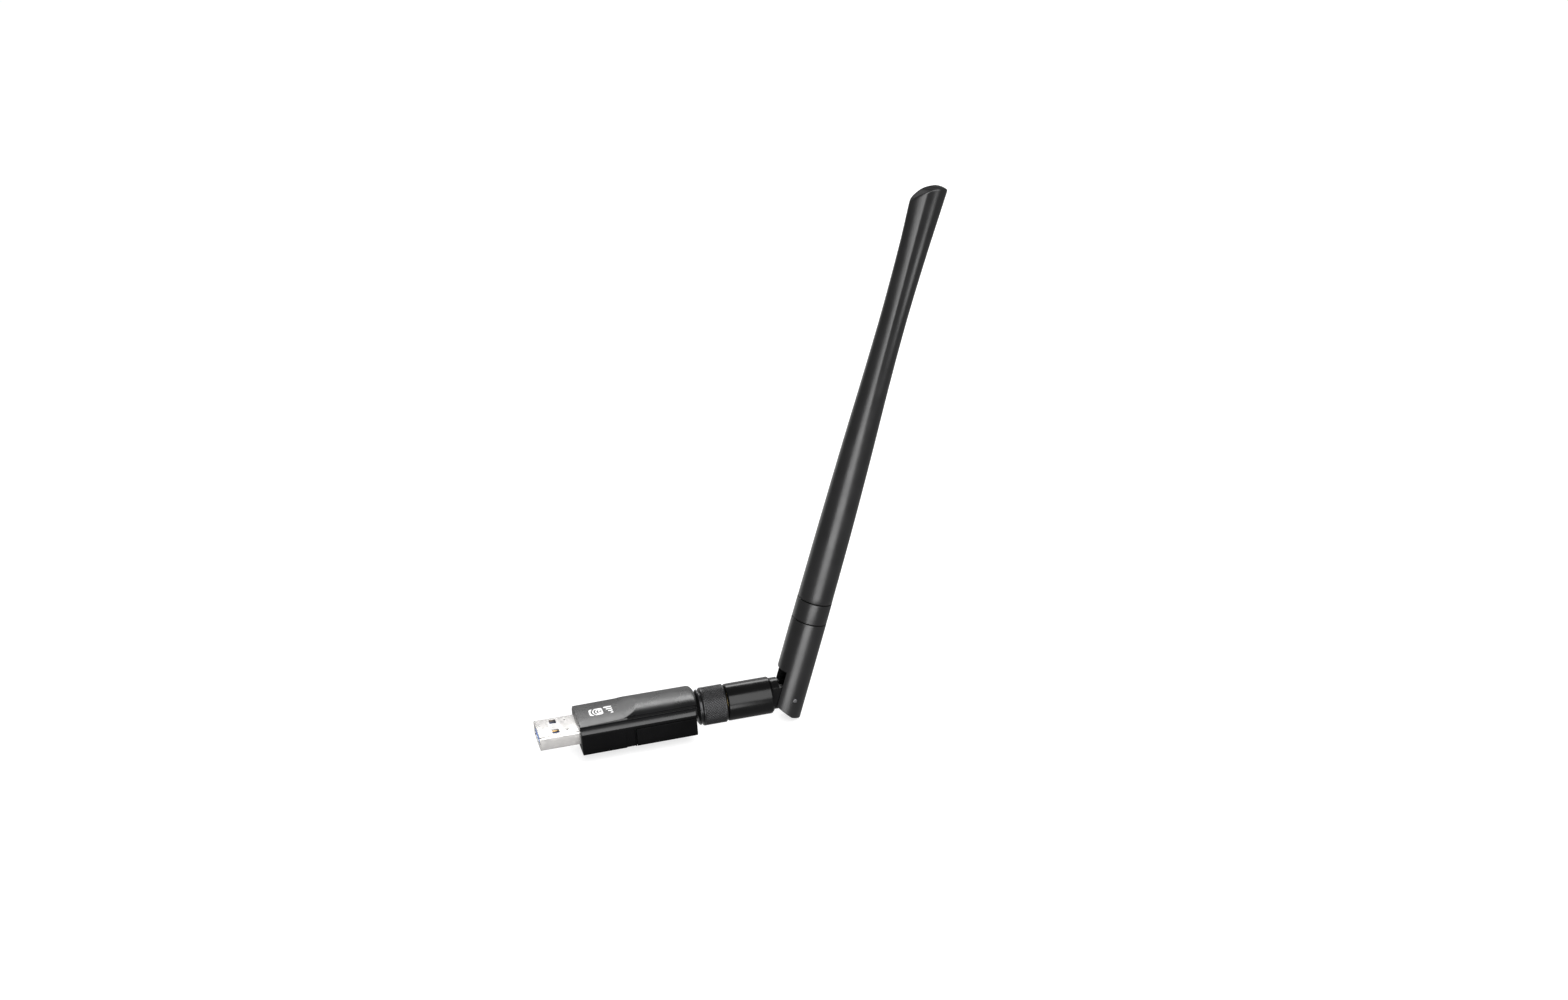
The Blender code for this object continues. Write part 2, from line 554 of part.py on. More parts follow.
def radome():
    count = 32
    heights = [RADOME_FOOT + 0.2, 45.0, 60.0, 75.0, 90.0, 105.0, 120.0, 135.0, 149.0]
    rings = [blade_ring(RADOME_FOOT, 0.2, count)]
    rings += [blade_ring(h, 0.0, count) for h in heights]
    for drop, pull in ((0.45, 0.0), (0.12, 0.14), (0.0, 0.45)):
        ring = blade_ring(RADOME_TIP - 2.0, pull, count)
        rings.append([(x, y, rim_height(x) - drop) for x, y, _ in ring])
    outer = loft("radome", rings, "antenna_plastic")
    inner_count = 20
    wall = 1.05
    inner = [blade_ring(h, wall, inner_count)
             for h in (RADOME_FOOT - 0.4, 60.0, 90.0, 120.0, 151.0)]
    return cut(outer, loft("inside", inner))


def mast():
    centre = (-PIN_DROP, 0, 0)
    low, high = COLLAR
    collar = turned("radome_collar", [
        (low - 4.5, 3.3), (low - 4.5, 4.2), (low, 4.2), (low, MAST_R - 0.2),
        (low + 0.2, MAST_R - 0.03), (high - 0.2, MAST_R - 0.07), (high, MAST_R - 0.25),
        (high, 4.2), (high + 4.5, 4.2), (high + 4.5, 3.3)], 48, "antenna_plastic", axis="Z",
        centre=centre)
    pins = [rod(f"hinge_pin_{end}", min(side * 1.7, side * 5.36), max(side * 1.7, side * 5.36),
                PIN_R, 24, "steel", axis="Y") for side, end in ((-1, "near"), (1, "far"))]
    cable = rod("feed_cable_upper", CABLE_FOOT, 38.7, CABLE_R, 12, "cable_jacket", axis="Z",
                centre=(-PIN_DROP / 2, 0, 0))
    sleeve = turned("ground_sleeve", [(39.1, 1.9), (39.1, 2.4), (63.2, 2.4), (63.2, 1.9)], 24,
                    "brass", axis="Z", centre=centre)
    strip = block("radiator_strip", (-PIN_DROP - 1.4, -0.3, 63.7), (-PIN_DROP + 1.4, 0.3, 135.0),
                  "board_green")
    pivot = mast_pivot()
    for piece in (antenna_fork(), collar, radome(), *pins, cable, sleeve, strip):
        piece.parent = pivot


def main():
    for obj in list(bpy.data.objects):
        bpy.data.objects.remove(obj)
    upper_cover()
    lower_case()
    usb_shell()
    plug_inside()
    electronics()
    socket()
    antenna_connector()
    swivel_barrel()
    mast()
    bpy.context.view_layer.update()


main()
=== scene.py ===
"""Looks of the USB wireless adapter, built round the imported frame.

Lengths are in millimetres in the frame's own axes, and MM turns them into metres when a mesh
is made. +X runs from the plug towards the antenna, +Z points out of the crowned top.
"""

from math import asin, cos, pi, radians, sin, sqrt

import bmesh
import bpy
from mathutils import Matrix, Vector


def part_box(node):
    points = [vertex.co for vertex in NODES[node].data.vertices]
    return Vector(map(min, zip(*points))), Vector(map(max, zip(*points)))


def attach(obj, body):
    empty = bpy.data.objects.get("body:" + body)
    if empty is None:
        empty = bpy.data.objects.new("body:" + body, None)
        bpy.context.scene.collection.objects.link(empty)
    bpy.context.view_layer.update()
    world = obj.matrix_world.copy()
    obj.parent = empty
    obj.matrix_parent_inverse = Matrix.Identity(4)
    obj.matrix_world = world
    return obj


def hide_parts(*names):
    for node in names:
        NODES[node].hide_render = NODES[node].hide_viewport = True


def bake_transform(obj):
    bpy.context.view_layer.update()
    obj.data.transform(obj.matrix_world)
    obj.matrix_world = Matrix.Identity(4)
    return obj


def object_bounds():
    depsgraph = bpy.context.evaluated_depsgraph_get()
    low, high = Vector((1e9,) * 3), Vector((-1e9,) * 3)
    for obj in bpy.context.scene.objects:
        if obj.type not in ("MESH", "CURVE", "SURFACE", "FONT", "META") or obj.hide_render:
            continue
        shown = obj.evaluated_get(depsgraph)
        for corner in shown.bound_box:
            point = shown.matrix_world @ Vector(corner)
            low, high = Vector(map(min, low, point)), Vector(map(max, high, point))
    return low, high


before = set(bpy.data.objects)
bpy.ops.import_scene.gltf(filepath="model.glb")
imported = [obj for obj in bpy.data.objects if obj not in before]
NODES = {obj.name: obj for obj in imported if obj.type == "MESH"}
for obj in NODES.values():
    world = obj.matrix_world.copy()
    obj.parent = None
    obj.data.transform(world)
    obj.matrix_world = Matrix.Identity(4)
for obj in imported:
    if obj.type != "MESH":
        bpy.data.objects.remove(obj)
cad_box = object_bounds()

MM = 0.001


def span(node):
    """Lowest and highest corner of a CAD node, in millimetres."""
    low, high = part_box(node)
    return low / MM, high / MM


# ---- places and sizes, read from the frame where it holds them 
SHELL_LOW, SHELL_HIGH = span("usb_shell")
COVER_LOW, COVER_HIGH = span("upper_cover")
NUT_LOW, NUT_HIGH = span("coupling_nut")
BARREL_LOW, BARREL_HIGH = span("swivel_barrel")
SOCKET_END = span("jack_body")[1].x
CASE_L = span("lower_case")[1].x

# The nut, the barrel and the socket share one axis along X.
AXIS_Z = (NUT_LOW.z + NUT_HIGH.z) / 2
AXIS = (0.0, 0.0, AXIS_Z)
NUT_R = (NUT_HIGH.y - NUT_LOW.y) / 2
BARREL_R = (BARREL_HIGH.y - BARREL_LOW.y) / 2

# Housing: side walls, shoulder, then the crown on its deck.
HALF_NOSE = COVER_HIGH.y
HALF_TAIL = 8.7
CASE_FLOOR = COVER_LOW.z
WALL = 1.3  # thickness of the walls
LOFT_HALF = 6.2  # half width of the room under the crown
WALL_ROWS = (-2.6, -1.2, 0.2)
EDGE_R = 0.5  # rounding along the bottom edges
SHOULDER_Z = 1.65
SHOULDER_ARC_Z = SHOULDER_Z + 0.6  # where the upright wall turns into the rounded shoulder
SHOULDER_BULGE = 0.17  # how far the shoulder stands proud of a straight slope
DECK_Z = 3.7
DECK_Y = 7.5  # half width of the deck at the nose
CROWN_H = 2.25
CROWN_POWER = 2.4  # 2 would make the crown's section half an ellipse
NOSE_R = 0.15
TAIL_R = 1.2
TAIL_EDGE_R = 0.3
TAIL_DROP = 0.7  # share of the crown's height left at its rear end
TAIL_BULGE = COVER_HIGH.x - CASE_L  # how far the crown's middle runs out over the nut
TAIL_REACH = 6.0
CROWN_SEAM = (3.78, 4.12)  # heights of the dark seam along the foot of the crown
CROWN_SEAM_DEEP = 0.32
CROWN_SEAM_LIP = 0.09  # how far the crown's foot stands back from the deck's edge

# Facet on the front half, and the ramp from it up to the crown.
FACET_Z_NOSE = 4.5
FACET_Z = 4.8
FACET_X = 13.4
RAMP_END_X = 18.4
FACET_FALL = 0.34  # how far the facet's long edges lie below its middle

# Finger recess on each side, and the lower case behind it.
GRIP_X = (13.5, 16.3)
GRIP_DEPTH = 0.35
GRIP_ROWS = (0.9, 1.24)  # top rows of the recess, below its rim
GRIP_RIM_Z = 1.32
STEP_X = 16.75
SEAM_Z = 1.1  # top of the lower case's side walls
SEAM_GAP = 0.2

THREAD_R = 3.1
THREAD_PITCH = 0.7056
THREAD_DEPTH = 0.36
THREAD_CLEARANCE = 0.2  # round the socket where it leaves the housing

# Hinge and mast. The mast's own frame has its origin on the pin and Z up the blade.
PIN_DROP = 1.0  # the pin lies this far below the connector's axis
PIN = Vector((67.2, 0.0, AXIS_Z - PIN_DROP))
PIN_R = 0.75
PIN_PLAY = 0.05
LEAN = radians(19.0)  # the mast leans this far back from upright at rest
MAST = Matrix.Translation(PIN) @ Matrix.Rotation(LEAN, 4, "Y")
MAST_UP = (MAST.to_3x3() @ Vector((0, 0, 1))).normalized()
MAST_R = 5.5
TIP_HEIGHT = 164.8  # the rim of the blade's cut tip is highest at TIP_PEAK across it
TIP_SLANT = 0.078
TIP_PEAK = 2.0


# ---- small geometry helpers -----------------------------------
def smooth_min(a, b, k):
    """The smaller of a and b, rounded over a height of k where they meet."""
    h = min(1.0, max(0.0, 0.5 + 0.5 * (b - a) / k))
    return b * (1 - h) + a * h - k * h * (1 - h)


def ease(value, edge, width):
    """0 below the edge and 1 above it, with a smooth step of that width."""
    t = min(1.0, max(0.0, (value - edge) / width + 0.5))
    return t * t * (3 - 2 * t)


def quarter(steps):
    """Angles from 0 to a right angle in even steps."""
    return [pi / 2 * i / steps for i in range(steps + 1)]


def circle(steps):
    """Angles of a full turn in even steps, without the last."""
    return [2 * pi * i / steps for i in range(steps)]


def rounded(corners, steps=5, closed=True):
    """Round the corners (a, b, radius) of a flat outline."""
    count = len(corners)
    points = []
    for i, (a, b, radius) in enumerate(corners):
        if radius <= 0 or (not closed and i in (0, count - 1)):
            points.append((a, b))
            continue
        here = Vector((a, b))
        ends = []
        for j in (i - 1, (i + 1) % count):
            edge = Vector(corners[j][:2]) - here
            ends.append(here + edge.normalized() * min(radius, edge.length * 0.48))
        for k in range(steps + 1):
            t = k / steps
            p = ends[0] * (1 - t) ** 2 + here * 2 * t * (1 - t) + ends[1] * t ** 2
            points.append((p.x, p.y))
    return points


def rectangle(across, along, radius, steps=5):
    """Rounded rectangle from its two spans, each (low, high)."""
    (a0, a1), (b0, b1) = across, along
    return rounded([(a0, b0, radius), (a1, b0, radius), (a1, b1, radius), (a0, b1, radius)],
                   steps)


def box_outline(width, height, radius, steps=6):
    """Rounded rectangle about the origin."""
    x, z = width / 2, height / 2
    return rounded([(x, -z, radius), (x, z, radius), (-x, z, radius), (-x, -z, radius)], steps)


def blend_stations(stations, place):
    """Smooth value at place: cubic through (place, value) stations."""
    slopes = []
    for i in range(len(stations)):
        before, after = stations[max(i - 1, 0)], stations[min(i + 1, len(stations) - 1)]
        slopes.append((after[1] - before[1]) / (after[0] - before[0]))
    for i in range(len(stations) - 1):
        (p0, v0), (p1, v1) = stations[i], stations[i + 1]
        if place <= p1:
            break
    width = p1 - p0
    t = (place - p0) / width
    return ((2 * t**3 - 3 * t**2 + 1) * v0 + (t**3 - 2 * t**2 + t) * width * slopes[i]
            + (3 * t**2 - 2 * t**3) * v1 + (t**3 - t**2) * width * slopes[i + 1])


# ---- mesh helpers ---------------------------------------------
SHARP = 38  # edges that bend by more than this many degrees are shaded sharp


def to_object(bm, name, sharp=SHARP):
    """Close bm, in millimetres, into an object in metres."""
    bmesh.ops.recalc_face_normals(bm, faces=bm.faces)
    bmesh.ops.scale(bm, vec=(MM, MM, MM), verts=bm.verts)
    mesh = bpy.data.meshes.new(name)
    bm.to_mesh(mesh)
    bm.free()
    mesh.shade_smooth()
    mesh.set_sharp_from_angle(angle=radians(sharp))
    obj = bpy.data.objects.new(name, mesh)
    bpy.context.collection.objects.link(obj)
    return obj


def skin(name, rings, loop=False, sharp=SHARP, strips=False):
    """Skin closed rings of equal length. A loop joins the last ring to the first; else the
    ends are closed, the last one with strips across Y where strips is set."""
    bm = bmesh.new()
    rows = [[bm.verts.new(point) for point in ring] for ring in rings]
    count = len(rows[0])
    pairs = list(zip(rows, rows[1:]))
    if loop:
        pairs.append((rows[-1], rows[0]))
    for row, after in pairs:
        for i in range(count):
            j = (i + 1) % count
            bm.faces.new((row[i], row[j], after[j], after[i]))
    if not loop:
        bm.faces.new(rows[0])
        last = rows[-1]
        if strips:
            for i in range(count // 2):
                corners = (last[i], last[i + 1], last[(count - i - 1) % count],
                           last[(count - i) % count])
                bm.faces.new(list(dict.fromkeys(corners)))
        else:
            bm.faces.new(last)
    bmesh.ops.remove_doubles(bm, verts=bm.verts, dist=1e-5)
    return to_object(bm, name, sharp)


def turned(name, profile, steps, centre=(0, 0, 0), axis="X", shape=None, loop=True,
           sharp=SHARP):
    """Turn a profile of (place along the axis, radius). shape(along, radius, turn) may change
    a point's radius, where turn is the share of a full turn."""
    rings = []
    for along, radius in profile:
        ring = []
        for i in range(steps):
            turn = i / steps
            r = shape(along, radius, turn) if shape else radius
            u, v = r * cos(2 * pi * turn), r * sin(2 * pi * turn)
            point = {"X": (along, u, v), "Y": (v, along, u), "Z": (u, v, along)}[axis]
            ring.append(Vector(point) + Vector(centre))
        rings.append(ring)
    return skin(name, rings, loop, sharp)


def plate(name, outline, axis, start, end):
    """Extrude a flat outline along X, Y or Z."""
    lift = {"X": lambda a, b, t: (t, a, b), "Y": lambda a, b, t: (a, t, b),
            "Z": lambda a, b, t: (a, b, t)}[axis]
    return skin(name, [[lift(a, b, t) for a, b in outline] for t in (start, end)])


def block(name, low, high):
    """Box between two corners."""
    (x0, y0, z0), (x1, y1, z1) = low, high
    return plate(name, [(x0, y0), (x1, y0), (x1, y1), (x0, y1)], "Z", z0, z1)


def rod(name, start, end, radius, steps, centre, axis):
    """Solid cylinder along an axis through centre."""
    profile = [(start, 0.0), (start, radius), (end, radius), (end, 0.0)]
    return turned(name, profile, steps, centre, axis, loop=False)


def stand_on_mast(obj):
    """Move a piece made in the mast's own frame to its place at rest."""
    obj.data.transform(Matrix.Diagonal((1 / MM, 1 / MM, 1 / MM, 1)))
    obj.data.transform(MAST)
    obj.data.transform(Matrix.Diagonal((MM, MM, MM, 1)))


def combine(obj, tools, operation):
    """Apply an exact Boolean of each tool to obj, then drop the tool."""
    for tool in tools:
        modifier = obj.modifiers.new("bool", "BOOLEAN")
        modifier.operation = operation
        modifier.solver = "EXACT"
        modifier.object = tool
        graph = bpy.context.evaluated_depsgraph_get()
        mesh = bpy.data.meshes.new_from_object(obj.evaluated_get(graph))
        obj.modifiers.clear()
        obj.data = mesh
        bpy.data.objects.remove(tool)
    obj.data.shade_smooth()
    obj.data.set_sharp_from_angle(angle=radians(SHARP))
    return obj


def cut(obj, *tools):
    return combine(obj, tools, "DIFFERENCE")


def add(obj, *tools):
    return combine(obj, tools, "UNION")


def soften(obj, width, angle):
    """Ease the edges of obj that are sharper than angle with a small bevel."""
    modifier = obj.modifiers.new("ease", "BEVEL")
    modifier.width = width * MM
    modifier.segments = 2
    modifier.limit_method = "ANGLE"
    modifier.angle_limit = radians(angle)
    modifier.harden_normals = True
    modifier.use_clamp_overlap = True


def adopt(obj, body, material, replaced=()):
    """Put a finished piece on its body, with its material and the nodes it stands for."""
    obj.data.materials.clear()
    obj.data.materials.append(material)
    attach(obj, body)
    if replaced:
        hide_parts(*replaced)


# ---- materials ------------------------------------------------
class Graph:
    """A material's nodes, with short calls for the few patterns used here."""

    def __init__(self, name, colour, roughness, metallic=0.0, specular=0.5, coat=0.0,
                 subsurface=0.0):
        self.material = bpy.data.materials.new(name)
        self.material.use_nodes = True
        self.tree = self.material.node_tree
        self.shader = self.tree.nodes["Principled BSDF"]
        for socket, value in (("Base Color", (*colour, 1.0)), ("Roughness", roughness),
                              ("Metallic", metallic), ("Specular IOR Level", specular),
                              ("Coat Weight", coat), ("Coat Roughness", 0.1),
                              ("Subsurface Weight", subsurface)):
            self.shader.inputs[socket].default_value = value
        if subsurface:
            self.shader.inputs["Subsurface Scale"].default_value = 0.4 * MM
        self.place = self.tree.nodes.new("ShaderNodeTexCoord").outputs["Object"]

    def link(self, source, target):
        self.tree.links.new(source, target)

    def noise(self, size, detail=3.0, stretch=(1, 1, 1)):
        """Noise whose grains are about size millimetres across."""
        mapping = self.tree.nodes.new("ShaderNodeMapping")
        mapping.inputs["Scale"].default_value = [1 / s for s in stretch]
        self.link(self.place, mapping.inputs["Vector"])
        node = self.tree.nodes.new("ShaderNodeTexNoise")
        node.inputs["Scale"].default_value = 1 / (size * MM)
        node.inputs["Detail"].default_value = detail
        self.link(mapping.outputs["Vector"], node.inputs["Vector"])
        return node.outputs["Fac"]

    def cells(self, size):
        """Distance to the edges of a pattern of cells about size millimetres across."""
        node = self.tree.nodes.new("ShaderNodeTexVoronoi")
        node.inputs["Scale"].default_value = 1 / (size * MM)
        node.feature = "DISTANCE_TO_EDGE"
        self.link(self.place, node.inputs["Vector"])
        return node.outputs["Distance"]

    def spread(self, source, low, high):
        """The middle part of a pattern, stretched to run from low to high."""
        node = self.tree.nodes.new("ShaderNodeMapRange")
        for socket, value in (("From Min", 0.3), ("From Max", 0.7), ("To Min", low),
                              ("To Max", high)):
            node.inputs[socket].default_value = value
        self.link(source, node.inputs["Value"])
        return node.outputs["Result"]

    def colours(self, source, stops):
        node = self.tree.nodes.new("ShaderNodeValToRGB")
        ramp = node.color_ramp
        while len(ramp.elements) < len(stops):
            ramp.elements.new(0.5)
        for element, (place, colour) in zip(ramp.elements, stops):
            element.position = place
            element.color = (*colour, 1.0)
        self.link(source, node.inputs["Fac"])
        self.link(node.outputs["Color"], self.shader.inputs["Base Color"])

    def roughness(self, source, low, high):
        self.link(self.spread(source, low, high), self.shader.inputs["Roughness"])

    def bump(self, source, depth):
        """Bump of about depth millimetres, on top of any bump made before it."""
        node = self.tree.nodes.new("ShaderNodeBump")
        node.inputs["Distance"].default_value = depth * MM
        node.inputs["Strength"].default_value = 1.0
        self.link(source, node.inputs["Height"])
        if self.shader.inputs["Normal"].is_linked:
            self.link(self.shader.inputs["Normal"].links[0].from_socket, node.inputs["Normal"])
        self.link(node.outputs["Normal"], self.shader.inputs["Normal"])


def moulded(name, colour, roughness, grain, depth, specular=0.5, **more):
    """Moulded plastic: fine spark-eroded grain, faint patches of gloss and of shade."""
    g = Graph(name, colour, roughness, specular=specular, **more)
    patch = g.noise(9.0, 4.0)
    g.colours(patch, [(0.3, [c * 0.86 for c in colour]), (0.7, [min(1, c * 1.14) for c in colour])])
    g.roughness(patch, roughness - 0.05, roughness + 0.05)
    g.bump(g.noise(grain, 2.0), depth)
    return g.material


def metal(name, colour, roughness, stretch=(1, 1, 1), depth=0.002, metallic=1.0):
    """Plated or turned metal: fine drawn lines and faint cloudy tarnish."""
    g = Graph(name, colour, roughness, metallic=metallic)
    cloud = g.noise(3.5, 4.0)
    g.colours(cloud, [(0.3, [c * 0.9 for c in colour]), (0.7, [min(1, c * 1.06) for c in colour])])
    lines = g.noise(0.12, 3.0, stretch)
    g.roughness(lines, roughness - 0.06, roughness + 0.08)
    g.bump(lines, depth)
    return g.material


def board_material():
    """Green solder mask over faint tracks."""
    g = Graph("solder_mask", (0.02, 0.13, 0.06), 0.34, coat=0.3)
    tracks = g.cells(1.1)
    g.colours(tracks, [(0.03, (0.035, 0.22, 0.10)), (0.07, (0.015, 0.10, 0.045))])
    g.bump(tracks, 0.02)
    g.bump(g.noise(0.2), 0.004)
    return g.material


M_CASE = moulded("case_satin", (0.0035, 0.0035, 0.0038), 0.27, 0.16, 0.003, specular=0.26)
# a darker, duller copy of the case plastic: painted shade on the housing's side walls and the
# crown's steep sides
M_CASE_SHADE = moulded("case_satin_painted_shade", (0.0018, 0.0018, 0.0019), 0.32, 0.16, 0.005, specular=0.025)
M_ANTENNA = moulded("antenna_grained", (0.0045, 0.0045, 0.0047), 0.33, 0.22, 0.005, specular=0.42)
M_BARREL = moulded("barrel_satin", (0.0022, 0.0022, 0.0023), 0.22, 0.18, 0.003, specular=0.16)
M_TIP = moulded("cut_tip", (0.012, 0.012, 0.0125), 0.62, 0.22, 0.008, specular=0.05)
M_NUT = metal("black_plated", (0.026, 0.026, 0.027), 0.28, (3, 1, 1), 0.003, metallic=0.8)
M_PIN = metal("dulled_steel", (0.085, 0.085, 0.088), 0.45)
M_NICKEL = metal("nickel_plate", (0.43, 0.42, 0.41), 0.20, (25, 1, 1), 0.0005, metallic=0.7)
M_GOLD = metal("gold_plate", (0.42, 0.27, 0.10), 0.36, (12, 1, 1), 0.001, metallic=0.9)
M_SOCKET = metal("black_socket", (0.02, 0.02, 0.02), 0.42, (1, 6, 6), 0.002, metallic=0.6)
M_BRASS = metal("turned_brass", (0.74, 0.56, 0.26), 0.30, (1, 6, 6), 0.002)
M_STEEL = metal("bright_steel", (0.60, 0.60, 0.61), 0.26, (1, 5, 5), 0.0015)
M_BLUE = moulded("blue_moulding", (0.060, 0.215, 0.66), 0.36, 0.12, 0.003, subsurface=0.25)
M_WHITE = moulded("white_insulator", (0.78, 0.78, 0.74), 0.46, 0.14, 0.003, subsurface=0.2)
M_CHIP = moulded("chip_mould", (0.022, 0.022, 0.024), 0.56, 0.09, 0.006)
M_CERAMIC = moulded("fired_ceramic", (0.50, 0.39, 0.27), 0.52, 0.10, 0.004)
M_RUBBER = moulded("silicone_ring", (0.30, 0.065, 0.04), 0.66, 0.12, 0.006)
M_JACKET = moulded("cable_jacket", (0.014, 0.014, 0.015), 0.50, 0.18, 0.006)
M_PRINT = moulded("white_print", (0.80, 0.80, 0.80), 0.55, 0.07, 0.003)
M_PRINT_DARK = moulded("dark_print", (0.012, 0.012, 0.013), 0.55, 0.07, 0.003)
M_BOARD = board_material()


# ---- housing --------------------------------------------------
def half_width(x):
    """Half width of the tapered housing at x."""
    return HALF_NOSE + (HALF_TAIL - HALF_NOSE) * x / CASE_L


FACET_BLEND = 0.06  # height over which the facet and its ramp blend
CROWN_BLEND = 0.07  # height over which the facet and the crown blend


def facet_height(x):
    """Height of the flat front facet and of the ramp behind it."""
    flat = FACET_Z_NOSE + (FACET_Z - FACET_Z_NOSE) * x / FACET_X
    ramp = FACET_Z + (x - FACET_X) * (DECK_Z + CROWN_H - FACET_Z) / (RAMP_END_X - FACET_X)
    return -smooth_min(-flat, -ramp, FACET_BLEND)


def mirrored(half, x):
    """A closed ring across X from its half outline, which starts and ends on the middle."""
    return [(x, y, z) for y, z in half] + [(x, -y, z) for y, z in reversed(half[1:-1])]


def lower_outline(low, floor):
    """Bottom and rounded lower edge of a housing section of half width low."""
    edge = [(low - EDGE_R + EDGE_R * sin(a), floor + EDGE_R - EDGE_R * cos(a))
            for a in quarter(5)]
    return [(0.0, floor), (low * 0.5, floor), *edge]


def shoulder_curve(w, deck):
    """Rounded shoulder from the side wall up to the deck, with the dark seam under the crown."""
    seam_low, seam_top = CROWN_SEAM
    low, high = Vector((w, SHOULDER_ARC_Z)), Vector((deck + 0.04, seam_low))
    slope = high - low
    out = Vector((slope.y, -slope.x)).normalized()
    points = [(w, GRIP_RIM_Z), (w, SHOULDER_Z)]
    steps = 12
    for i in range(steps + 1):
        t = i / steps
        p = low + slope * t + out * (4 * t * (1 - t) * SHOULDER_BULGE)
        points.append((min(p.x, w), p.y))
    bottom = deck - CROWN_SEAM_DEEP
    return points + [(bottom, seam_low + 0.03), (bottom, seam_top - 0.03),
                     (deck - CROWN_SEAM_LIP, seam_top)]


# Where the points of the crown lie, as shares of the angle of the facet's edge, which is at
# most CROWN_RIM. Further points go from there to the middle in even steps.
RIM_SHARES = (0.13, 0.25, 0.37, 0.49, 0.60, 0.70, 0.79, 0.87, 0.93, 0.97, 1.0, 1.03, 1.08)
CROWN_RIM = radians(65)
CROWN_STEPS = 12
CROWN_RISE = 0.004  # least rise from point to point, so that no two points coincide


def crown_curve(deck, facet, crown):
    """Crown from its foot to the middle, cut off at the height of the facet. crown is the
    share of the crown's full height."""
    rim = CROWN_RIM
    level = (facet - DECK_Z) / (CROWN_H * crown)
    if level < 1:
        rim = min(rim, asin(level ** (CROWN_POWER / 2)))
    turns = [rim * share for share in RIM_SHARES]
    last = turns[-1]
    turns += [last + (pi / 2 - last) * i / CROWN_STEPS for i in range(1, CROWN_STEPS + 1)]
    points = []
    for i, a in enumerate(turns):
        height = DECK_Z + CROWN_H * crown * abs(sin(a)) ** (2 / CROWN_POWER)
        share = abs(cos(a)) ** (2 / CROWN_POWER)
        height = smooth_min(height, facet - FACET_FALL * share**3, CROWN_BLEND)
        points.append((min(deck * share, deck - CROWN_SEAM_LIP),
                       max(height, CROWN_SEAM[1] + CROWN_RISE * (i + 1))))
    points[-1] = (0.0, points[-1][1])
    return points


def cover_section(x, pull=0.0, crown=1.0):
    """Ring of the cover at x, pulled in by pull, with a share of the crown's full height."""
    w = half_width(x) - pull
    deck = DECK_Y * half_width(x) / HALF_NOSE - pull
    grip = GRIP_DEPTH * (ease(x, GRIP_X[0], 0.1) - ease(x, GRIP_X[1], 0.1))
    half = lower_outline(w - grip, CASE_FLOOR + pull)
    half += [(w - grip, z) for z in (*WALL_ROWS, *GRIP_ROWS)]
    half += shoulder_curve(w, deck)
    half += crown_curve(deck, facet_height(x) - pull, crown)
    run = TAIL_BULGE * max(0.0, (x - CASE_L + TAIL_REACH) / TAIL_REACH) ** 2
    return [(px + run * (1 - min(1.0, abs(y) / half_width(x)) ** 2) * ease(z, SHOULDER_Z, 0.1),
             y, z) for px, y, z in mirrored(half, x)]


def cover_rings():
    """Sections of the cover: a rounded nose, even steps that are closer together where the
    shape turns, and a tail where the crown dips."""
    rings = [cover_section(NOSE_R * (1 - cos(a)), NOSE_R * (1 - sin(a))) for a in quarter(5)]
    tail_start = CASE_L - TAIL_R
    places = {round(NOSE_R + 0.45 * i, 3) for i in range(1, 73)}
    for centre, reach, step in ((FACET_X, 0.24, 0.04), (GRIP_X[1], 0.12, 0.03),
                                (RAMP_END_X, 0.8, 0.1)):
        count = int(reach / step)
        places |= {round(centre + step * i, 3) for i in range(-count, count + 1)}
    rings += [cover_section(x) for x in sorted(places) if NOSE_R + 0.1 < x < tail_start - 0.1]
    for a in quarter(12):
        x = tail_start + TAIL_R * sin(a)
        into = max(0.0, x - (CASE_L - TAIL_EDGE_R))
        pull = max(0.0, TAIL_EDGE_R - sqrt(max(0.0, TAIL_EDGE_R**2 - into**2)))
        rings.append(cover_section(x, pull, TAIL_DROP + (1 - TAIL_DROP) * cos(a)))
    return rings


def socket_hole():
    """Tool that opens the rear wall for the socket's thread."""
    return rod("hole", CASE_L - 3, CASE_L + 1, THREAD_R + THREAD_CLEARANCE, 64, AXIS, "X")


def housing_cover():
    """Crowned upper cover. Its walls and the crown's steep sides get painted shade: a darker,
    duller copy of the plastic on its top.
    """
    cover = skin("housing_cover", cover_rings(), strips=True)
    inner = HALF_TAIL - WALL
    plug_w = SHELL_HIGH.y - SHELL_LOW.y + 0.2
    plug_h = SHELL_HIGH.z - SHELL_LOW.z + 0.2
    cut(cover,
        block("room", (WALL, -inner, CASE_FLOOR - 1), (CASE_L - WALL, inner, 1.2)),
        block("loft_room", (WALL, -LOFT_HALF, 0.5), (CASE_L - WALL, LOFT_HALF, 3.3)),
        block("lower_rear", (STEP_X - SEAM_GAP, -12.0, CASE_FLOOR - 1),
              (CASE_L + 1, 12.0, SEAM_Z + SEAM_GAP)),
        plate("nose_hole", box_outline(plug_w, plug_h, 0.55), "X", -1.0, WALL + 1),
        socket_hole())
    adopt(cover, "adapter", M_CASE, ["upper_cover"])
    # painted shade: the walls and the crown's steep sides take the darker, duller copy of the
    # plastic
    cover.data.materials.append(M_CASE_SHADE)
    wall_top = (SHOULDER_ARC_Z - 0.1) * MM
    for face in cover.data.polygons:
        steep = abs(face.normal.y) > 0.6
        shaded_flank = (steep and face.center.z > CROWN_SEAM[1] * MM
                 and face.center.x > (FACET_X + 1) * MM)
        face.material_index = 1 if face.center.z < wall_top or shaded_flank else 0


FLOOR_THICK = 1.2
POST_X = (12.0, 28.0)  # four posts carry the circuit board
POST_Y = 6.0
POST_HALF = 0.8
POST_TOP_Z = -0.9


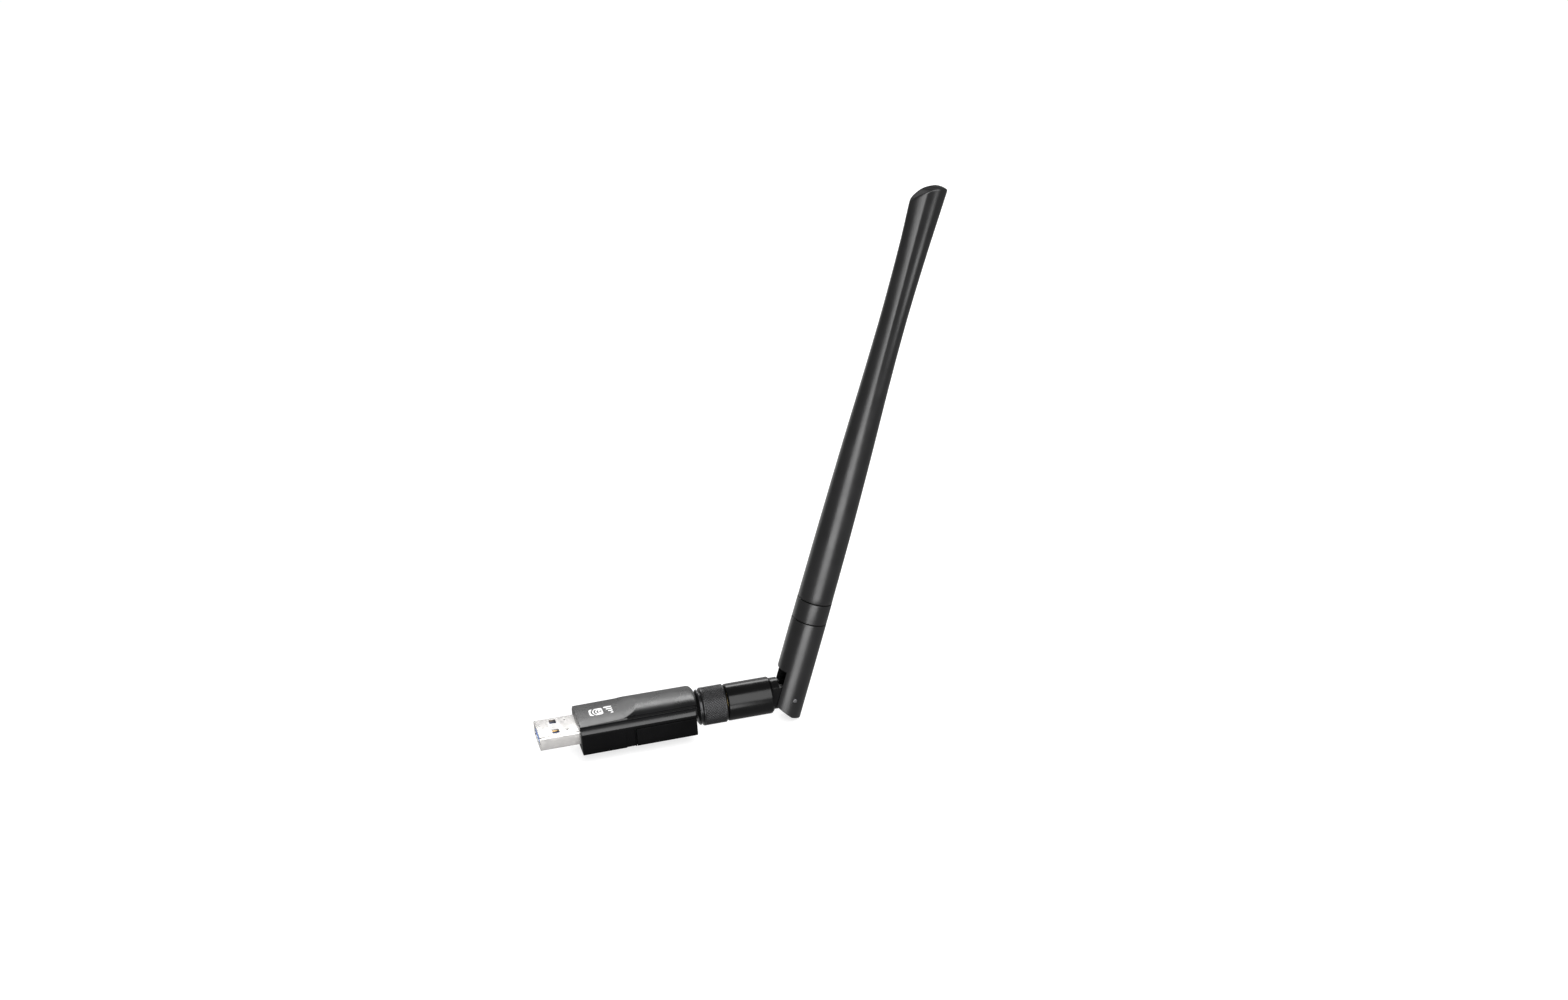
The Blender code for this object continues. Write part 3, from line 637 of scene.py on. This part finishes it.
def housing_base():
    """Lower case: full-width side walls behind the step, a floor plate in front."""
    floor_top = CASE_FLOOR + FLOOR_THICK
    inner = HALF_TAIL - WALL
    rings = []
    ends = [(STEP_X, 0.1), (STEP_X + 0.03, 0.04), (STEP_X + 0.1, 0.0), (22.0, 0.0), (29.0, 0.0),
            (CASE_L - 0.3, 0.0), (CASE_L - 0.19, 0.02), (CASE_L - 0.09, 0.09),
            (CASE_L - 0.02, 0.19), (CASE_L, 0.3)]
    for x, pull in ends:
        w = half_width(x) - pull
        top = SEAM_Z - pull * 0.3
        half = lower_outline(w, CASE_FLOOR + pull)
        half += [(w, z) for z in WALL_ROWS]
        half += rounded([(w, 0.7, 0), (w, top, 0.16), (w - 0.8, top, 0)], 5, closed=False)
        half.append((0.0, top))
        rings.append(mirrored(half, x))
    base = skin("housing_base", rings)
    cut(base,
        block("room", (STEP_X - 1, -inner, floor_top), (CASE_L - WALL, inner, 3)),
        socket_hole())
    posts = [block("post", (x - POST_HALF, y - POST_HALF, floor_top - 0.5),
                   (x + POST_HALF, y + POST_HALF, POST_TOP_Z))
             for x in POST_X for y in (-POST_Y, POST_Y)]
    add(base,
        block("front_floor", (WALL + 0.1, -inner + 0.1, CASE_FLOOR),
              (STEP_X + 1, inner - 0.1, floor_top)), *posts)
    # the lower case's walls take the darker, duller copy of the case plastic: painted shade
    adopt(base, "adapter", M_CASE_SHADE, ["lower_case"])


# ---- generic print on the facet -------------------------------
ICON_X = 6.2
ICON_SIZE = 4.2
WAVE_RADII = (1.0, 1.9, 2.8)
WAVE_WIDTH = 0.5
DOT_R = 0.4
BARS_X = 11.3
BAR_PITCH = 1.3
BAR_HALF = 0.36


def printed(name, outlines, lift, material):
    """Thin ink that lies on the facet, from closed outlines of (x, y)."""
    bm = bmesh.new()
    for outline in outlines:
        levels = [[bm.verts.new((x, y, facet_height(x) + h)) for x, y in outline]
                  for h in (-0.01, lift)]
        bm.faces.new(levels[0])
        bm.faces.new(levels[1])
        count = len(outline)
        for i in range(count):
            j = (i + 1) % count
            bm.faces.new((levels[0][i], levels[0][j], levels[1][j], levels[1][i]))
    adopt(to_object(bm, name), "adapter", material)


def arc(centre, radius, angles):
    return [(centre[0] + radius * cos(a), centre[1] + radius * sin(a)) for a in angles]


def band(centre, radius, width, middle, reach, steps=18):
    """Outline of a curved band about centre, angles in degrees."""
    angles = [radians(middle - reach + 2 * reach * i / steps) for i in range(steps + 1)]
    outer = arc(centre, radius + width / 2, angles)
    return outer + arc(centre, radius - width / 2, reversed(angles))


def facet_print():
    """Wireless arcs on a square, and four signal bars, in place of the photograph's marks."""
    h = ICON_SIZE / 2
    square = rectangle((ICON_X - h, ICON_X + h), (-h, h), 0.95, 8)
    source = (ICON_X + 1.45, 0.0)
    waves = [band(source, radius, WAVE_WIDTH, 180, 48) for radius in WAVE_RADII]
    dot = arc(source, DOT_R, circle(20))
    bars = []
    for i in range(4):
        y = -1.95 + BAR_PITCH * i
        length = 0.8 + 0.55 * i
        bars.append(rectangle((BARS_X - length, BARS_X), (y - BAR_HALF, y + BAR_HALF), 0.1, 3))
    printed("print_square", [square], 0.012, M_PRINT)
    printed("print_waves", [*waves, dot], 0.02, M_PRINT_DARK)
    printed("print_bars", bars, 0.012, M_PRINT)


# ---- plug -----------------------------------------------------
SHEET = 0.3  # thickness of the plug's shell
PLUG_TAIL_X = 4.6  # where the tube ends inside the housing, and only its tabs go on
WINDOW_X = (-7.95, -5.85)
DIMPLE_X = (-3.65, -2.95)
WINDOW_Y = 3.25  # windows and dimples lie this far to each side of the middle
WINDOW_HALF = 1.25
DIMPLE_HALF = 0.25


def plug_shell():
    """Drawn sheet tube with rolled mouth, latch windows, dimples and a locked seam below."""
    w, h = SHELL_HIGH.y - SHELL_LOW.y, SHELL_HIGH.z - SHELL_LOW.z
    start, end = SHELL_LOW.x, PLUG_TAIL_X
    mouth = start + 0.1
    rows = (-10.5, -8.5, -6.5, -4.5, -2.5, 0.0, 2.5)
    path = [(mouth, 0.0)]
    path += [(x, 0.0) for x in (*rows, end - 0.05)]
    path += [(end, 0.05), (end, SHEET - 0.05), (end - 0.05, SHEET)]
    path += [(x, SHEET) for x in reversed(rows)]
    path += [(mouth, SHEET), (start + 0.03, SHEET - 0.05), (start, SHEET / 2),
             (start + 0.03, 0.05)]
    rings = [[(x, y, z) for y, z in box_outline(w - 2 * inset, h - 2 * inset,
                                                max(0.25, 0.62 - inset), 8)]
             for x, inset in path]
    shell = skin("plug_shell", rings, loop=True)
    tools = []
    for side in (-1, 1):
        middle = side * WINDOW_Y
        window = rectangle(WINDOW_X, (middle - WINDOW_HALF, middle + WINDOW_HALF), 0.22, 5)
        for face in (-1, 1):
            z0, z1 = sorted((face * 1.2, face * 3.0))
            tools.append(plate("window", window, "Z", z0, z1))
        dimple = rectangle(DIMPLE_X, (middle - DIMPLE_HALF, middle + DIMPLE_HALF), 0.2, 4)
        tools.append(plate("dimple", dimple, "Z", 1.2, 3.0))
    seam = [(-13.0, -0.04), (-8.6, -0.04), (-8.9, -0.95), (-6.3, -0.95), (-6.6, -0.04),
            (5.0, -0.04), (5.0, 0.04), (-6.68, 0.04), (-6.4, -0.87), (-8.8, -0.87), (-8.5, 0.04),
            (-13.0, 0.04)]
    tools.append(plate("seam", seam, "Z", -h / 2 - 0.5, -h / 2 + SHEET * 0.55))
    cut(shell, *tools)
    tabs = [block("tab", (4.1, y, -1.6), (8.3, y + SHEET, 0.8)) for y in (-6.0, 5.7)]
    add(shell, *tabs)
    soften(shell, 0.05, 50)
    adopt(shell, "adapter", M_NICKEL, ["usb_shell"])


def plug_tongue():
    """Blue tongue with a chamfered lip and a channel under each front contact."""
    low, high = span("usb_tongue")
    width = high.y - low.y
    side = rounded([(low.x, low.z + 0.15, 0.12), (low.x + 0.15, low.z, 0.1), (high.x, low.z, 0.1),
                    (high.x, high.z, 0.1), (low.x + 0.55, high.z, 0.2),
                    (low.x, high.z - 0.4, 0.15)], 4)
    tongue = plate("plug_tongue", side, "Y", -width / 2, width / 2)
    channels = []
    play = 0.08
    for number in range(1, 5):
        c_low, c_high = span(f"usb_contact_{number}")
        channels.append(block("channel", (c_low.x - 0.25, c_low.y - play, high.z - 0.12),
                              (c_high.x + 1, c_high.y + play, high.z + 1)))
    cut(tongue, *channels)
    soften(tongue, 0.06, 50)
    adopt(tongue, "adapter", M_BLUE, ["usb_tongue"])


# ---- aerial socket and nut ------------------------------------
def ridge(along, turn):
    """Height of a right-hand thread, 0 at the root and 1 at the crest."""
    phase = (along / THREAD_PITCH - turn) % 1.0
    return min(1.0, max(0.0, 1.25 - 2.5 * abs(phase - 0.5)))


SOCKET_BORE_R = 2.1
SOCKET_MOUTH_R = 2.33
SOCKET_MOUTH_X = 39.6  # where the bore widens to take the antenna's connector


def threaded_socket():
    """Threaded tube of the socket, and the flange and legs that hold it to the board."""
    start, end = CASE_L - WALL - 0.1, SOCKET_END
    step = 0.06
    count = int((end - 0.3 - CASE_L) / step)
    outer = [(start, THREAD_R - 0.02), (CASE_L - 0.2, THREAD_R - 0.02)]
    outer += [(CASE_L + step * i, THREAD_R) for i in range(count + 1)]
    outer += [(end - 0.15, THREAD_R - 0.2), (end, THREAD_R - 0.4)]
    inner = [(end, SOCKET_MOUTH_R + 0.05), (end - 0.05, SOCKET_MOUTH_R),
             (SOCKET_MOUTH_X, SOCKET_MOUTH_R), (SOCKET_MOUTH_X, SOCKET_BORE_R),
             (start, SOCKET_BORE_R)]

    def shape(along, radius, turn):
        if radius < THREAD_R - 0.001:
            return radius
        fade = ease(along, CASE_L + 0.5, 0.5)
        return radius - THREAD_DEPTH * fade * (1 - ridge(along, turn))

    thread = turned("socket_thread", outer + inner, 72, AXIS, shape=shape, sharp=60)
    adopt(thread, "adapter", M_SOCKET)
    flange = block("socket_flange", (32.4, -3.9, AXIS_Z - 3.6), (start - 0.02, 3.9, AXIS_Z + 2.9))
    legs = [block("leg", (28.8, side * 3.0 - 0.5, low), (32.6, side * 3.0 + 0.5, high))
            for side in (-1, 1) for low, high in ((0.1, 1.2), (-2.0, -0.9))]
    bore = rod("bore", 30, 36, SOCKET_BORE_R, 48, AXIS, "X")
    add(cut(flange, bore), *legs)
    soften(flange, 0.1, 50)
    adopt(flange, "adapter", M_SOCKET, ["jack_body"])


KNURLS = 44  # crossing pairs of grooves round the nut
KNURL_DEPTH = 0.17
KNURL_START_X = 38.95
GROOVE_R = 4.7
NUT_THREAD_R = 3.25


def knurled_nut():
    """Coupling nut: a smooth collar, a groove, a crossed knurl and an inner thread."""
    start, end = NUT_LOW.x, NUT_HIGH.x
    knurl = (KNURL_START_X, end - 0.4)
    groove = (37.9, 38.48)
    outer = rounded([(start, 3.5, 0), (start, 4.6, 0.1), (start + 0.5, 5.5, 0.3),
                     (groove[0] - 0.02, 5.5, 0.08), (groove[0], GROOVE_R, 0.06),
                     (groove[1], GROOVE_R, 0.06), (groove[1] + 0.02, 5.65, 0.1),
                     (knurl[0] - 0.1, NUT_R, 0.1)], 4, closed=False)
    rows = 96
    outer += [(knurl[0] + (knurl[1] - knurl[0]) * i / rows, NUT_R) for i in range(rows + 1)]
    outer += rounded([(knurl[1] + 0.02, NUT_R, 0), (end, NUT_R - 0.4, 0.12), (end, 3.0, 0.05),
                      (44.2, 3.0, 0), (44.2, 3.5, 0), (43.3, 3.5, 0),
                      (43.3, NUT_THREAD_R, 0)], 4, closed=False)
    step = 0.09
    outer += [(43.2 - step * i, NUT_THREAD_R) for i in range(int((42.7 - start) / step))]

    def shape(along, radius, turn):
        if radius > NUT_R - 0.001:
            lead = along / (2 * pi * NUT_R)
            a = abs(2 * ((KNURLS * (turn + lead)) % 1.0) - 1)
            b = abs(2 * ((KNURLS * (turn - lead)) % 1.0) - 1)
            fade = ease(along, knurl[0] + 0.15, 0.3) * (1 - ease(along, knurl[1] - 0.15, 0.3))
            return radius - KNURL_DEPTH * fade * (1 - min(1.0, 1.6 * min(a, b)))
        if abs(radius - NUT_THREAD_R) < 0.001 and along < 43.25:
            return radius + 0.25 * ridge(along, turn)
        return radius

    nut = turned("knurled_nut", outer, KNURLS * 8, AXIS, shape=shape, sharp=65)
    adopt(nut, "nut", M_NUT, ["coupling_nut"])


# ---- swivel barrel --------------------------------------------
BARREL_END_X = 60.6  # end of the round part, where the hinge tongue starts
BARREL_BORE_R = 2.95
CLIP_GROOVE = (47.05, 48.35, 3.45)  # start, end and radius of the swivel clip's groove
CABLE_BORE_X = 54.0  # from here on the bore is only as wide as the cable needs
CABLE_BORE_R = 1.2
TONGUE_TOP_R = 5.2
TONGUE_UNDER_R = 4.6
TONGUE_Y = 3.7  # half width of the barrel's tongue
SLOT_Y = 4.0  # half width of the fork's slot
STEP_DOWN_X = 62.95
EYE_TOP_Z = 3.8
CABLE_GAP = 1.3  # half width of the slot, and radius of the hole, for the cable
CLEAR = 9.0  # a reach from the axis that clears every piece of the hinge


def slab(side, inner, x, z):
    """Tool that takes away all beyond inner on one side, over spans along X and Z."""
    low, high = min(side * inner, side * CLEAR), max(side * inner, side * CLEAR)
    return block("side", (x[0], low, z[0]), (x[1], high, z[1]))


def pin_hole(centre):
    """Tool that bores the hinge pin's hole right through."""
    return rod("pin_hole", -CLEAR, CLEAR, PIN_R + PIN_PLAY, 48, centre, "Y")


def barrel():
    """Swivel barrel, whose flat-sided tongue with a round eye holds the hinge pin."""
    start, end = BARREL_LOW.x, BARREL_END_X
    clip_start, clip_end, clip_r = CLIP_GROOVE
    profile = rounded([(start, 5.35, 0.12), (start + 0.3, BARREL_R, 0.2),
                       (end - 0.4, BARREL_R, 0.2), (end + 0.1, TONGUE_TOP_R, 0.12),
                       (PIN.x, TONGUE_TOP_R, 0), (PIN.x, CABLE_BORE_R, 0),
                       (CABLE_BORE_X, CABLE_BORE_R, 0), (CABLE_BORE_X, BARREL_BORE_R, 0),
                       (clip_end, BARREL_BORE_R, 0), (clip_end, clip_r, 0),
                       (clip_start, clip_r, 0), (clip_start, BARREL_BORE_R, 0),
                       (start, BARREL_BORE_R, 0)], 4)
    piece = turned("swivel_barrel_shell", profile, 128, AXIS)
    foot = end + 0.15
    far = PIN.x + CLEAR
    sides = [slab(side, TONGUE_Y, (foot, far), (-CLEAR, CLEAR)) for side in (-1, 1)]
    under = cut(block("under", (foot, -CLEAR, -CLEAR), (far, CLEAR, AXIS_Z)),
                rod("keep", foot - 1, far + 1, TONGUE_UNDER_R, 128, AXIS, "X"))
    corner_r = 0.9
    above = 12
    step = [(STEP_DOWN_X, above), (STEP_DOWN_X, EYE_TOP_Z)]
    step += [(PIN.x - corner_r + corner_r * sin(a), EYE_TOP_Z - corner_r + corner_r * cos(a))
             for a in quarter(8)]
    step += [(far, EYE_TOP_Z - corner_r), (far, above)]
    cut(piece, *sides, under, plate("step", step, "Y", -CLEAR, CLEAR))
    nose_profile = [(-TONGUE_Y, 0.0)]
    nose_steps = 24
    for i in range(nose_steps + 1):
        y = TONGUE_Y * (2 * i / nose_steps - 1)
        nose_profile.append((y, sqrt(TONGUE_UNDER_R**2 - y**2) - PIN_DROP))
    nose_profile.append((TONGUE_Y, 0.0))
    add(piece, turned("tongue_nose", nose_profile, 96, PIN, axis="Y", loop=False))
    cut(piece,
        block("cable_slot", (PIN.x - 3.8, -CABLE_GAP, PIN.z - 0.2), (far, CABLE_GAP, CLEAR)),
        pin_hole(PIN))
    soften(piece, 0.14, 42)
    adopt(piece, "barrel", M_BARREL, ["swivel_barrel"])


# ---- mast: fork, collar, blade --------------------------------
BACK = (-PIN_DROP, 0.0, 0.0)  # the mast's axis, in the mast's own frame
FORK_FOOT = -6.6
FORK_TOP = 25.5
FORK_BORE_R = 4.3
SLOT_TOP = 8.5
SLOT_BACK_R = 4.75


def fork():
    """Fork whose slot takes the barrel's tongue and whose bore takes the collar."""
    body = rounded([(FORK_FOOT, 0.0, 0), (FORK_FOOT, MAST_R, 0), (FORK_TOP, MAST_R, 0.2),
                    (FORK_TOP, 0.0, 0)], 4, closed=False)
    piece = turned("hinge_fork", body, 128, BACK, axis="Z", loop=False)
    below = FORK_FOOT - 3
    underside = [(-CLEAR, -1.16), (0.35, -5.65), (CLEAR, -6.8), (CLEAR, below), (-CLEAR, below)]
    back = cut(rod("slot_back", FORK_FOOT - 1, SLOT_TOP, SLOT_BACK_R, 128, BACK, "Z"),
               *[slab(side, SLOT_Y, (-CLEAR, CLEAR), (FORK_FOOT - 2, SLOT_TOP + 1))
                 for side in (-1, 1)])
    cut(piece,
        block("slot", (-CLEAR, -SLOT_Y, FORK_FOOT - 1), (-PIN_DROP, SLOT_Y, SLOT_TOP)),
        back,
        plate("underside", underside, "Y", -CLEAR, CLEAR),
        rod("bore", SLOT_TOP + 1.5, FORK_TOP + 1, FORK_BORE_R, 64, BACK, "Z"),
        rod("cable_hole", SLOT_TOP - 1, SLOT_TOP + 2, CABLE_GAP, 32, (-PIN_DROP / 2, 0, 0), "Z"),
        pin_hole((0, 0, 0)))
    soften(piece, 0.12, 42)
    stand_on_mast(piece)
    adopt(piece, "mast", M_ANTENNA, ["antenna_fork"])


COLLAR = (25.75, 32.2)  # span of the part that shows between the two grooves
COLLAR_SPIGOT = 4.5  # how far it goes into the fork and into the blade
COLLAR_SPIGOT_R = 4.2
COLLAR_BORE_R = 3.3


def collar():
    """Ring between fork and blade, with a spigot at each end."""
    low, high = COLLAR
    foot, top = low - COLLAR_SPIGOT, high + COLLAR_SPIGOT
    r = MAST_R - 0.03
    profile = rounded([(foot, COLLAR_BORE_R, 0.1), (foot, COLLAR_SPIGOT_R, 0.1),
                       (low, COLLAR_SPIGOT_R, 0), (low, r, 0.16), (high, r - 0.04, 0.16),
                       (high, COLLAR_SPIGOT_R, 0), (top, COLLAR_SPIGOT_R, 0.1),
                       (top, COLLAR_BORE_R, 0.1)], 5)
    piece = turned("blade_collar", profile, 128, BACK, axis="Z")
    stand_on_mast(piece)
    adopt(piece, "mast", M_ANTENNA, ["radome_collar"])


# Stations (height above the pin, value) along the blade.
BLADE_WIDTH = [(32.0, 10.8), (56.0, 10.5), (81.0, 9.7), (105.0, 8.55), (125.0, 8.15),
               (145.0, 8.9), (165.0, 10.4)]
BLADE_THICKNESS = [(32.0, 10.8), (61.0, 9.6), (101.0, 7.8), (141.0, 6.1), (165.0, 5.3)]
BLADE_SHIFT = [(32.0, 0.0), (61.0, 0.02), (111.0, 0.27), (165.0, 0.22)]
VALLEY_DEPTH = [(32.0, 0.0), (62.0, 0.0), (90.0, 0.10), (120.0, 0.34), (145.0, 0.42),
                (165.0, 0.30)]
VALLEY_AT = 0.10  # where the valley lies across the blade, as a share of its half width
VALLEY_REACH = 0.42
BLADE_FOOT = 32.45
BLADE_WALL = 1.05


def blade_ring(height, pull):
    """Oval section that grows a shallow valley along both broad faces towards the tip."""
    across = blend_stations(BLADE_WIDTH, height) / 2 - pull
    thick = blend_stations(BLADE_THICKNESS, height) / 2 - pull
    middle = -PIN_DROP - blend_stations(BLADE_SHIFT, height)
    depth = max(0.0, blend_stations(VALLEY_DEPTH, height))
    ring = []
    for a in circle(112):
        x, y = cos(a), sin(a)
        dent = depth * max(0.0, 1 - ((x - VALLEY_AT) / VALLEY_REACH) ** 2) ** 2
        ring.append((middle + across * x, y * (thick - dent), height))
    return ring


def rim_height(x):
    """Height of the cut tip's rim, which falls to both sides of TIP_PEAK."""
    return TIP_HEIGHT - TIP_SLANT * (x - TIP_PEAK) ** 2


def blade():
    """Hollow blade with rounded ends. Its cut tip has a rougher finish than its sides."""
    rings = []
    for rise, pull in ((0.0, 0.2), (0.03, 0.1), (0.1, 0.03), (0.2, 0.0)):
        rings.append(blade_ring(BLADE_FOOT + rise, pull))
    rings += [blade_ring(BLADE_FOOT + 0.2 + 1.62 * i, 0.0) for i in range(1, 72)]
    for drop, pull in ((1.4, 0.0), (0.7, 0.0), (0.42, 0.01), (0.22, 0.06), (0.09, 0.16),
                       (0.02, 0.32), (0.0, 0.5)):
        ring = blade_ring(TIP_HEIGHT - 2.0, pull)
        rings.append([(x, y, rim_height(x) - drop) for x, y, _ in ring])
    piece = skin("antenna_blade", rings, sharp=50)
    hollow = []
    for height in (32.05, 60.0, 90.0, 120.0, 151.0):
        across = blend_stations(BLADE_WIDTH, height) / 2 - BLADE_WALL
        thick = blend_stations(BLADE_THICKNESS, height) / 2 - BLADE_WALL
        thick -= max(0.0, blend_stations(VALLEY_DEPTH, height))
        middle = -PIN_DROP - blend_stations(BLADE_SHIFT, height)
        hollow.append([(middle + across * cos(a), thick * sin(a), height) for a in circle(40)])
    cut(piece, skin("hollow", hollow))
    piece.data.set_sharp_from_angle(angle=radians(50))
    stand_on_mast(piece)
    adopt(piece, "mast", M_ANTENNA, ["radome"])
    piece.data.materials.append(M_TIP)
    for face in piece.data.polygons:
        face.material_index = 1 if face.normal.dot(MAST_UP) > 0.4 else 0


PIN_INNER_Y = 1.7
PIN_OUTER_Y = 5.36
PIN_DOME = 0.16  # height of the pin's domed end


def hinge_pins():
    """A pin stub in each side of the fork, so that the cable can pass between them."""
    for side, end in ((-1, "near"), (1, "far")):
        shoulder = PIN_OUTER_Y - PIN_DOME
        profile = [(side * PIN_INNER_Y, 0.0), (side * PIN_INNER_Y, PIN_R - 0.06),
                   (side * (PIN_INNER_Y + 0.06), PIN_R), (side * shoulder, PIN_R)]
        profile += [(side * (shoulder + PIN_DOME * sin(a)), PIN_R * cos(a) ** 0.5)
                    for a in quarter(6)[1:-1]]
        profile.append((side * (shoulder + PIN_DOME), 0.0))
        piece = turned(f"pin_{end}", profile, 40, PIN, axis="Y", loop=False)
        adopt(piece, "mast", M_PIN, [f"hinge_pin_{end}"])


# ---- feed cable, which bends at the tilt hinge ----------------
CABLE_R = 0.9
CABLE_START_X = 50.8
CABLE_UP = 34.95  # length of the straight stretch inside the mast
BEND_REACH = 2.9  # how far the bend keeps to each straight stretch


def feed_cable():
    """One cable from the ferrule, over the hinge and up the mast."""
    foot = MAST @ Vector((-PIN_DROP / 2, 0, 3.75))
    start = Vector((PIN.x - 4.4, 0, AXIS_Z))
    path = [Vector((CABLE_START_X + (start.x - CABLE_START_X) * i / 10, 0, AXIS_Z))
            for i in range(10)]
    bend_in = start + Vector((BEND_REACH, 0, 0))
    bend_out = foot - MAST_UP * BEND_REACH
    steps = 24
    for i in range(steps + 1):
        t = i / steps
        path.append(start * (1 - t) ** 3 + bend_in * 3 * t * (1 - t) ** 2
                    + bend_out * 3 * t * t * (1 - t) + foot * t ** 3)
    path += [foot + MAST_UP * (CABLE_UP * i / steps) for i in range(1, steps + 1)]
    rings = []
    across = Vector((0, 1, 0))
    for i, point in enumerate(path):
        along = (path[min(i + 1, len(path) - 1)] - path[max(i - 1, 0)]).normalized()
        other = along.cross(across).normalized()
        rings.append([point + (across * cos(a) + other * sin(a)) * CABLE_R
                      for a in circle(24)])
    piece = skin("feed_cable", rings)
    piece.data.materials.append(M_JACKET)
    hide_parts("feed_cable_lower", "feed_cable_upper")
    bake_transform(piece)


# ---- CAD nodes that keep their shape --------------------------
# Node: its material, and the width of its eased edges.
KEPT = {
    "usb_rear_block": (M_BLUE, 0.08), "circuit_board": (M_BOARD, 0.06),
    "rf_shield": (M_STEEL, 0.08), "wifi_chip": (M_CHIP, 0.08), "frontend_chip": (M_CHIP, 0.08),
    "crystal": (M_STEEL, 0.15), "regulator": (M_CHIP, 0.08), "inductor": (M_CHIP, 0.15),
    "jack_insulator": (M_WHITE, 0.05), "jack_center_pin": (M_GOLD, 0.03),
    "plug_ferrule": (M_BRASS, 0.06),
    "plug_insulator": (M_WHITE, 0.05), "plug_socket": (M_GOLD, 0.03),
    "sealing_gasket": (M_RUBBER, 0.1), "snap_ring": (M_STEEL, 0.08),
    "swivel_clip": (M_STEEL, 0.08), "ground_sleeve": (M_BRASS, 0.06),
    "radiator_strip": (M_BOARD, 0.05),
    **{f"capacitor_{n}": (M_CERAMIC, 0.1) for n in range(1, 4)},
    **{f"usb_contact_{n}": (M_GOLD, 0.05) for n in range(1, 5)},
    **{f"usb3_contact_{n}": (M_GOLD, 0.03) for n in range(1, 6)},
}


def finish_kept_nodes():
    """Give the nodes that keep their CAD shape their materials and eased edges."""
    for name, (material, width) in KEPT.items():
        obj = NODES[name]
        obj.data.materials.clear()
        obj.data.materials.append(material)
        soften(obj, width, 50)


# ---- floor, light and camera ----------------------------------
FLOOR_HALF = 5000.0
FLOOR_GAP = 0.4  # the floor lies just clear of the object
FLOOR_GLOW = 0.68
WORLD_LIGHT = 0.35


def floor():
    """Pale floor. The photograph is a cut-out, so the object's gloss doesn't mirror the floor,
    and the floor doesn't block the lamps that stand below it."""
    g = Graph("pale_floor", (0.42, 0.42, 0.42), 0.85, specular=0.05)
    g.shader.inputs["Emission Color"].default_value = (1.0, 1.0, 1.0, 1.0)
    g.shader.inputs["Emission Strength"].default_value = FLOOR_GLOW
    g.roughness(g.noise(60.0), 0.8, 0.9)
    low = cad_box[0].z - FLOOR_GAP * MM
    half = FLOOR_HALF * MM
    bm = bmesh.new()
    bm.faces.new([bm.verts.new((x, y, low)) for x, y in ((-half, -half), (half, -half),
                                                         (half, half), (-half, half))])
    mesh = bpy.data.meshes.new("floor")
    bm.to_mesh(mesh)
    bm.free()
    mesh.materials.append(g.material)
    obj = bpy.data.objects.new("floor", mesh)
    bpy.context.collection.objects.link(obj)
    obj.visible_glossy = False
    obj.visible_shadow = False


def softbox(name, place, aim, size, power):
    """A rectangular lamp at place, pointed at aim, both in millimetres."""
    light = bpy.data.lights.new(name, "AREA")
    light.shape = "RECTANGLE"
    light.size, light.size_y = size[0] * MM, size[1] * MM
    light.energy = power
    obj = bpy.data.objects.new(name, light)
    obj.location = Vector(place) * MM
    obj.rotation_euler = (Vector(aim) - Vector(place)).to_track_quat("-Z", "Y").to_euler()
    obj.visible_camera = False
    bpy.context.collection.objects.link(obj)


def lighting():
    """Dim white surroundings and five softboxes."""
    world = bpy.data.worlds.new("studio")
    world.use_nodes = True
    background = world.node_tree.nodes["Background"]
    background.inputs["Color"].default_value = (1.0, 1.0, 1.0, 1.0)
    background.inputs["Strength"].default_value = WORLD_LIGHT
    bpy.context.scene.world = world
    whole, mast, housing = (70, 0, 20), (95, 0, 80), (27, 0, 5)
    # Soft key on the near side: the blade's broad face, the nut and the plug.
    softbox("front", (150, -970, 640), whole, (900, 1150), 23.0)
    # The band of light down the blade's middle.
    softbox("low_front", (-182, -1035, -167), mast, (845, 400), 9.8)
    # A faint line down the blade's left edge.
    softbox("low_rear", (-443, 932, -149), mast, (700, 420), 0.8)
    # The gloss on the facet and on the crown, then a weak fill round it.
    softbox("back", (155, 910, 776), housing, (900, 330), 9.4)
    softbox("low_back", (188, 1142, 331), housing, (1300, 643), 1.6)


# The photograph's own view, as fitted: the camera looks at VIEW_AIM from VIEW_DISTANCE.
VIEW_AZIMUTH = radians(-12.33)
VIEW_ELEVATION = radians(23.28)
VIEW_ROLL = radians(4.12)
VIEW_DISTANCE = 779.4
VIEW_AIM = Vector((69.37, 0.0, 64.37))
LENS = 59.7
SENSOR = 36.0


def camera():
    """Camera at the photograph's angle, turned by its small roll."""
    data = bpy.data.cameras.new("camera")
    data.lens = LENS
    data.sensor_width = SENSOR
    data.clip_start, data.clip_end = 0.01, 30.0
    obj = bpy.data.objects.new("camera", data)
    bpy.context.collection.objects.link(obj)
    ahead = Vector((-sin(VIEW_AZIMUTH) * cos(VIEW_ELEVATION),
                    cos(VIEW_AZIMUTH) * cos(VIEW_ELEVATION), -sin(VIEW_ELEVATION)))
    right = ahead.cross(Vector((0, 0, 1))).normalized()
    up = right.cross(ahead)
    image_right = right * cos(VIEW_ROLL) - up * sin(VIEW_ROLL)
    image_up = up * cos(VIEW_ROLL) + right * sin(VIEW_ROLL)
    turn = Matrix((image_right, image_up, -ahead)).transposed()
    obj.matrix_world = Matrix.Translation((VIEW_AIM - ahead * VIEW_DISTANCE) * MM) @ turn.to_4x4()
    bpy.context.scene.camera = obj


camera()
bpy.context.scene.view_settings.view_transform = "Standard"
housing_cover()
housing_base()
facet_print()
plug_shell()
plug_tongue()
threaded_socket()
knurled_nut()
barrel()
fork()
collar()
blade()
hinge_pins()
feed_cable()
finish_kept_nodes()
floor()
lighting()
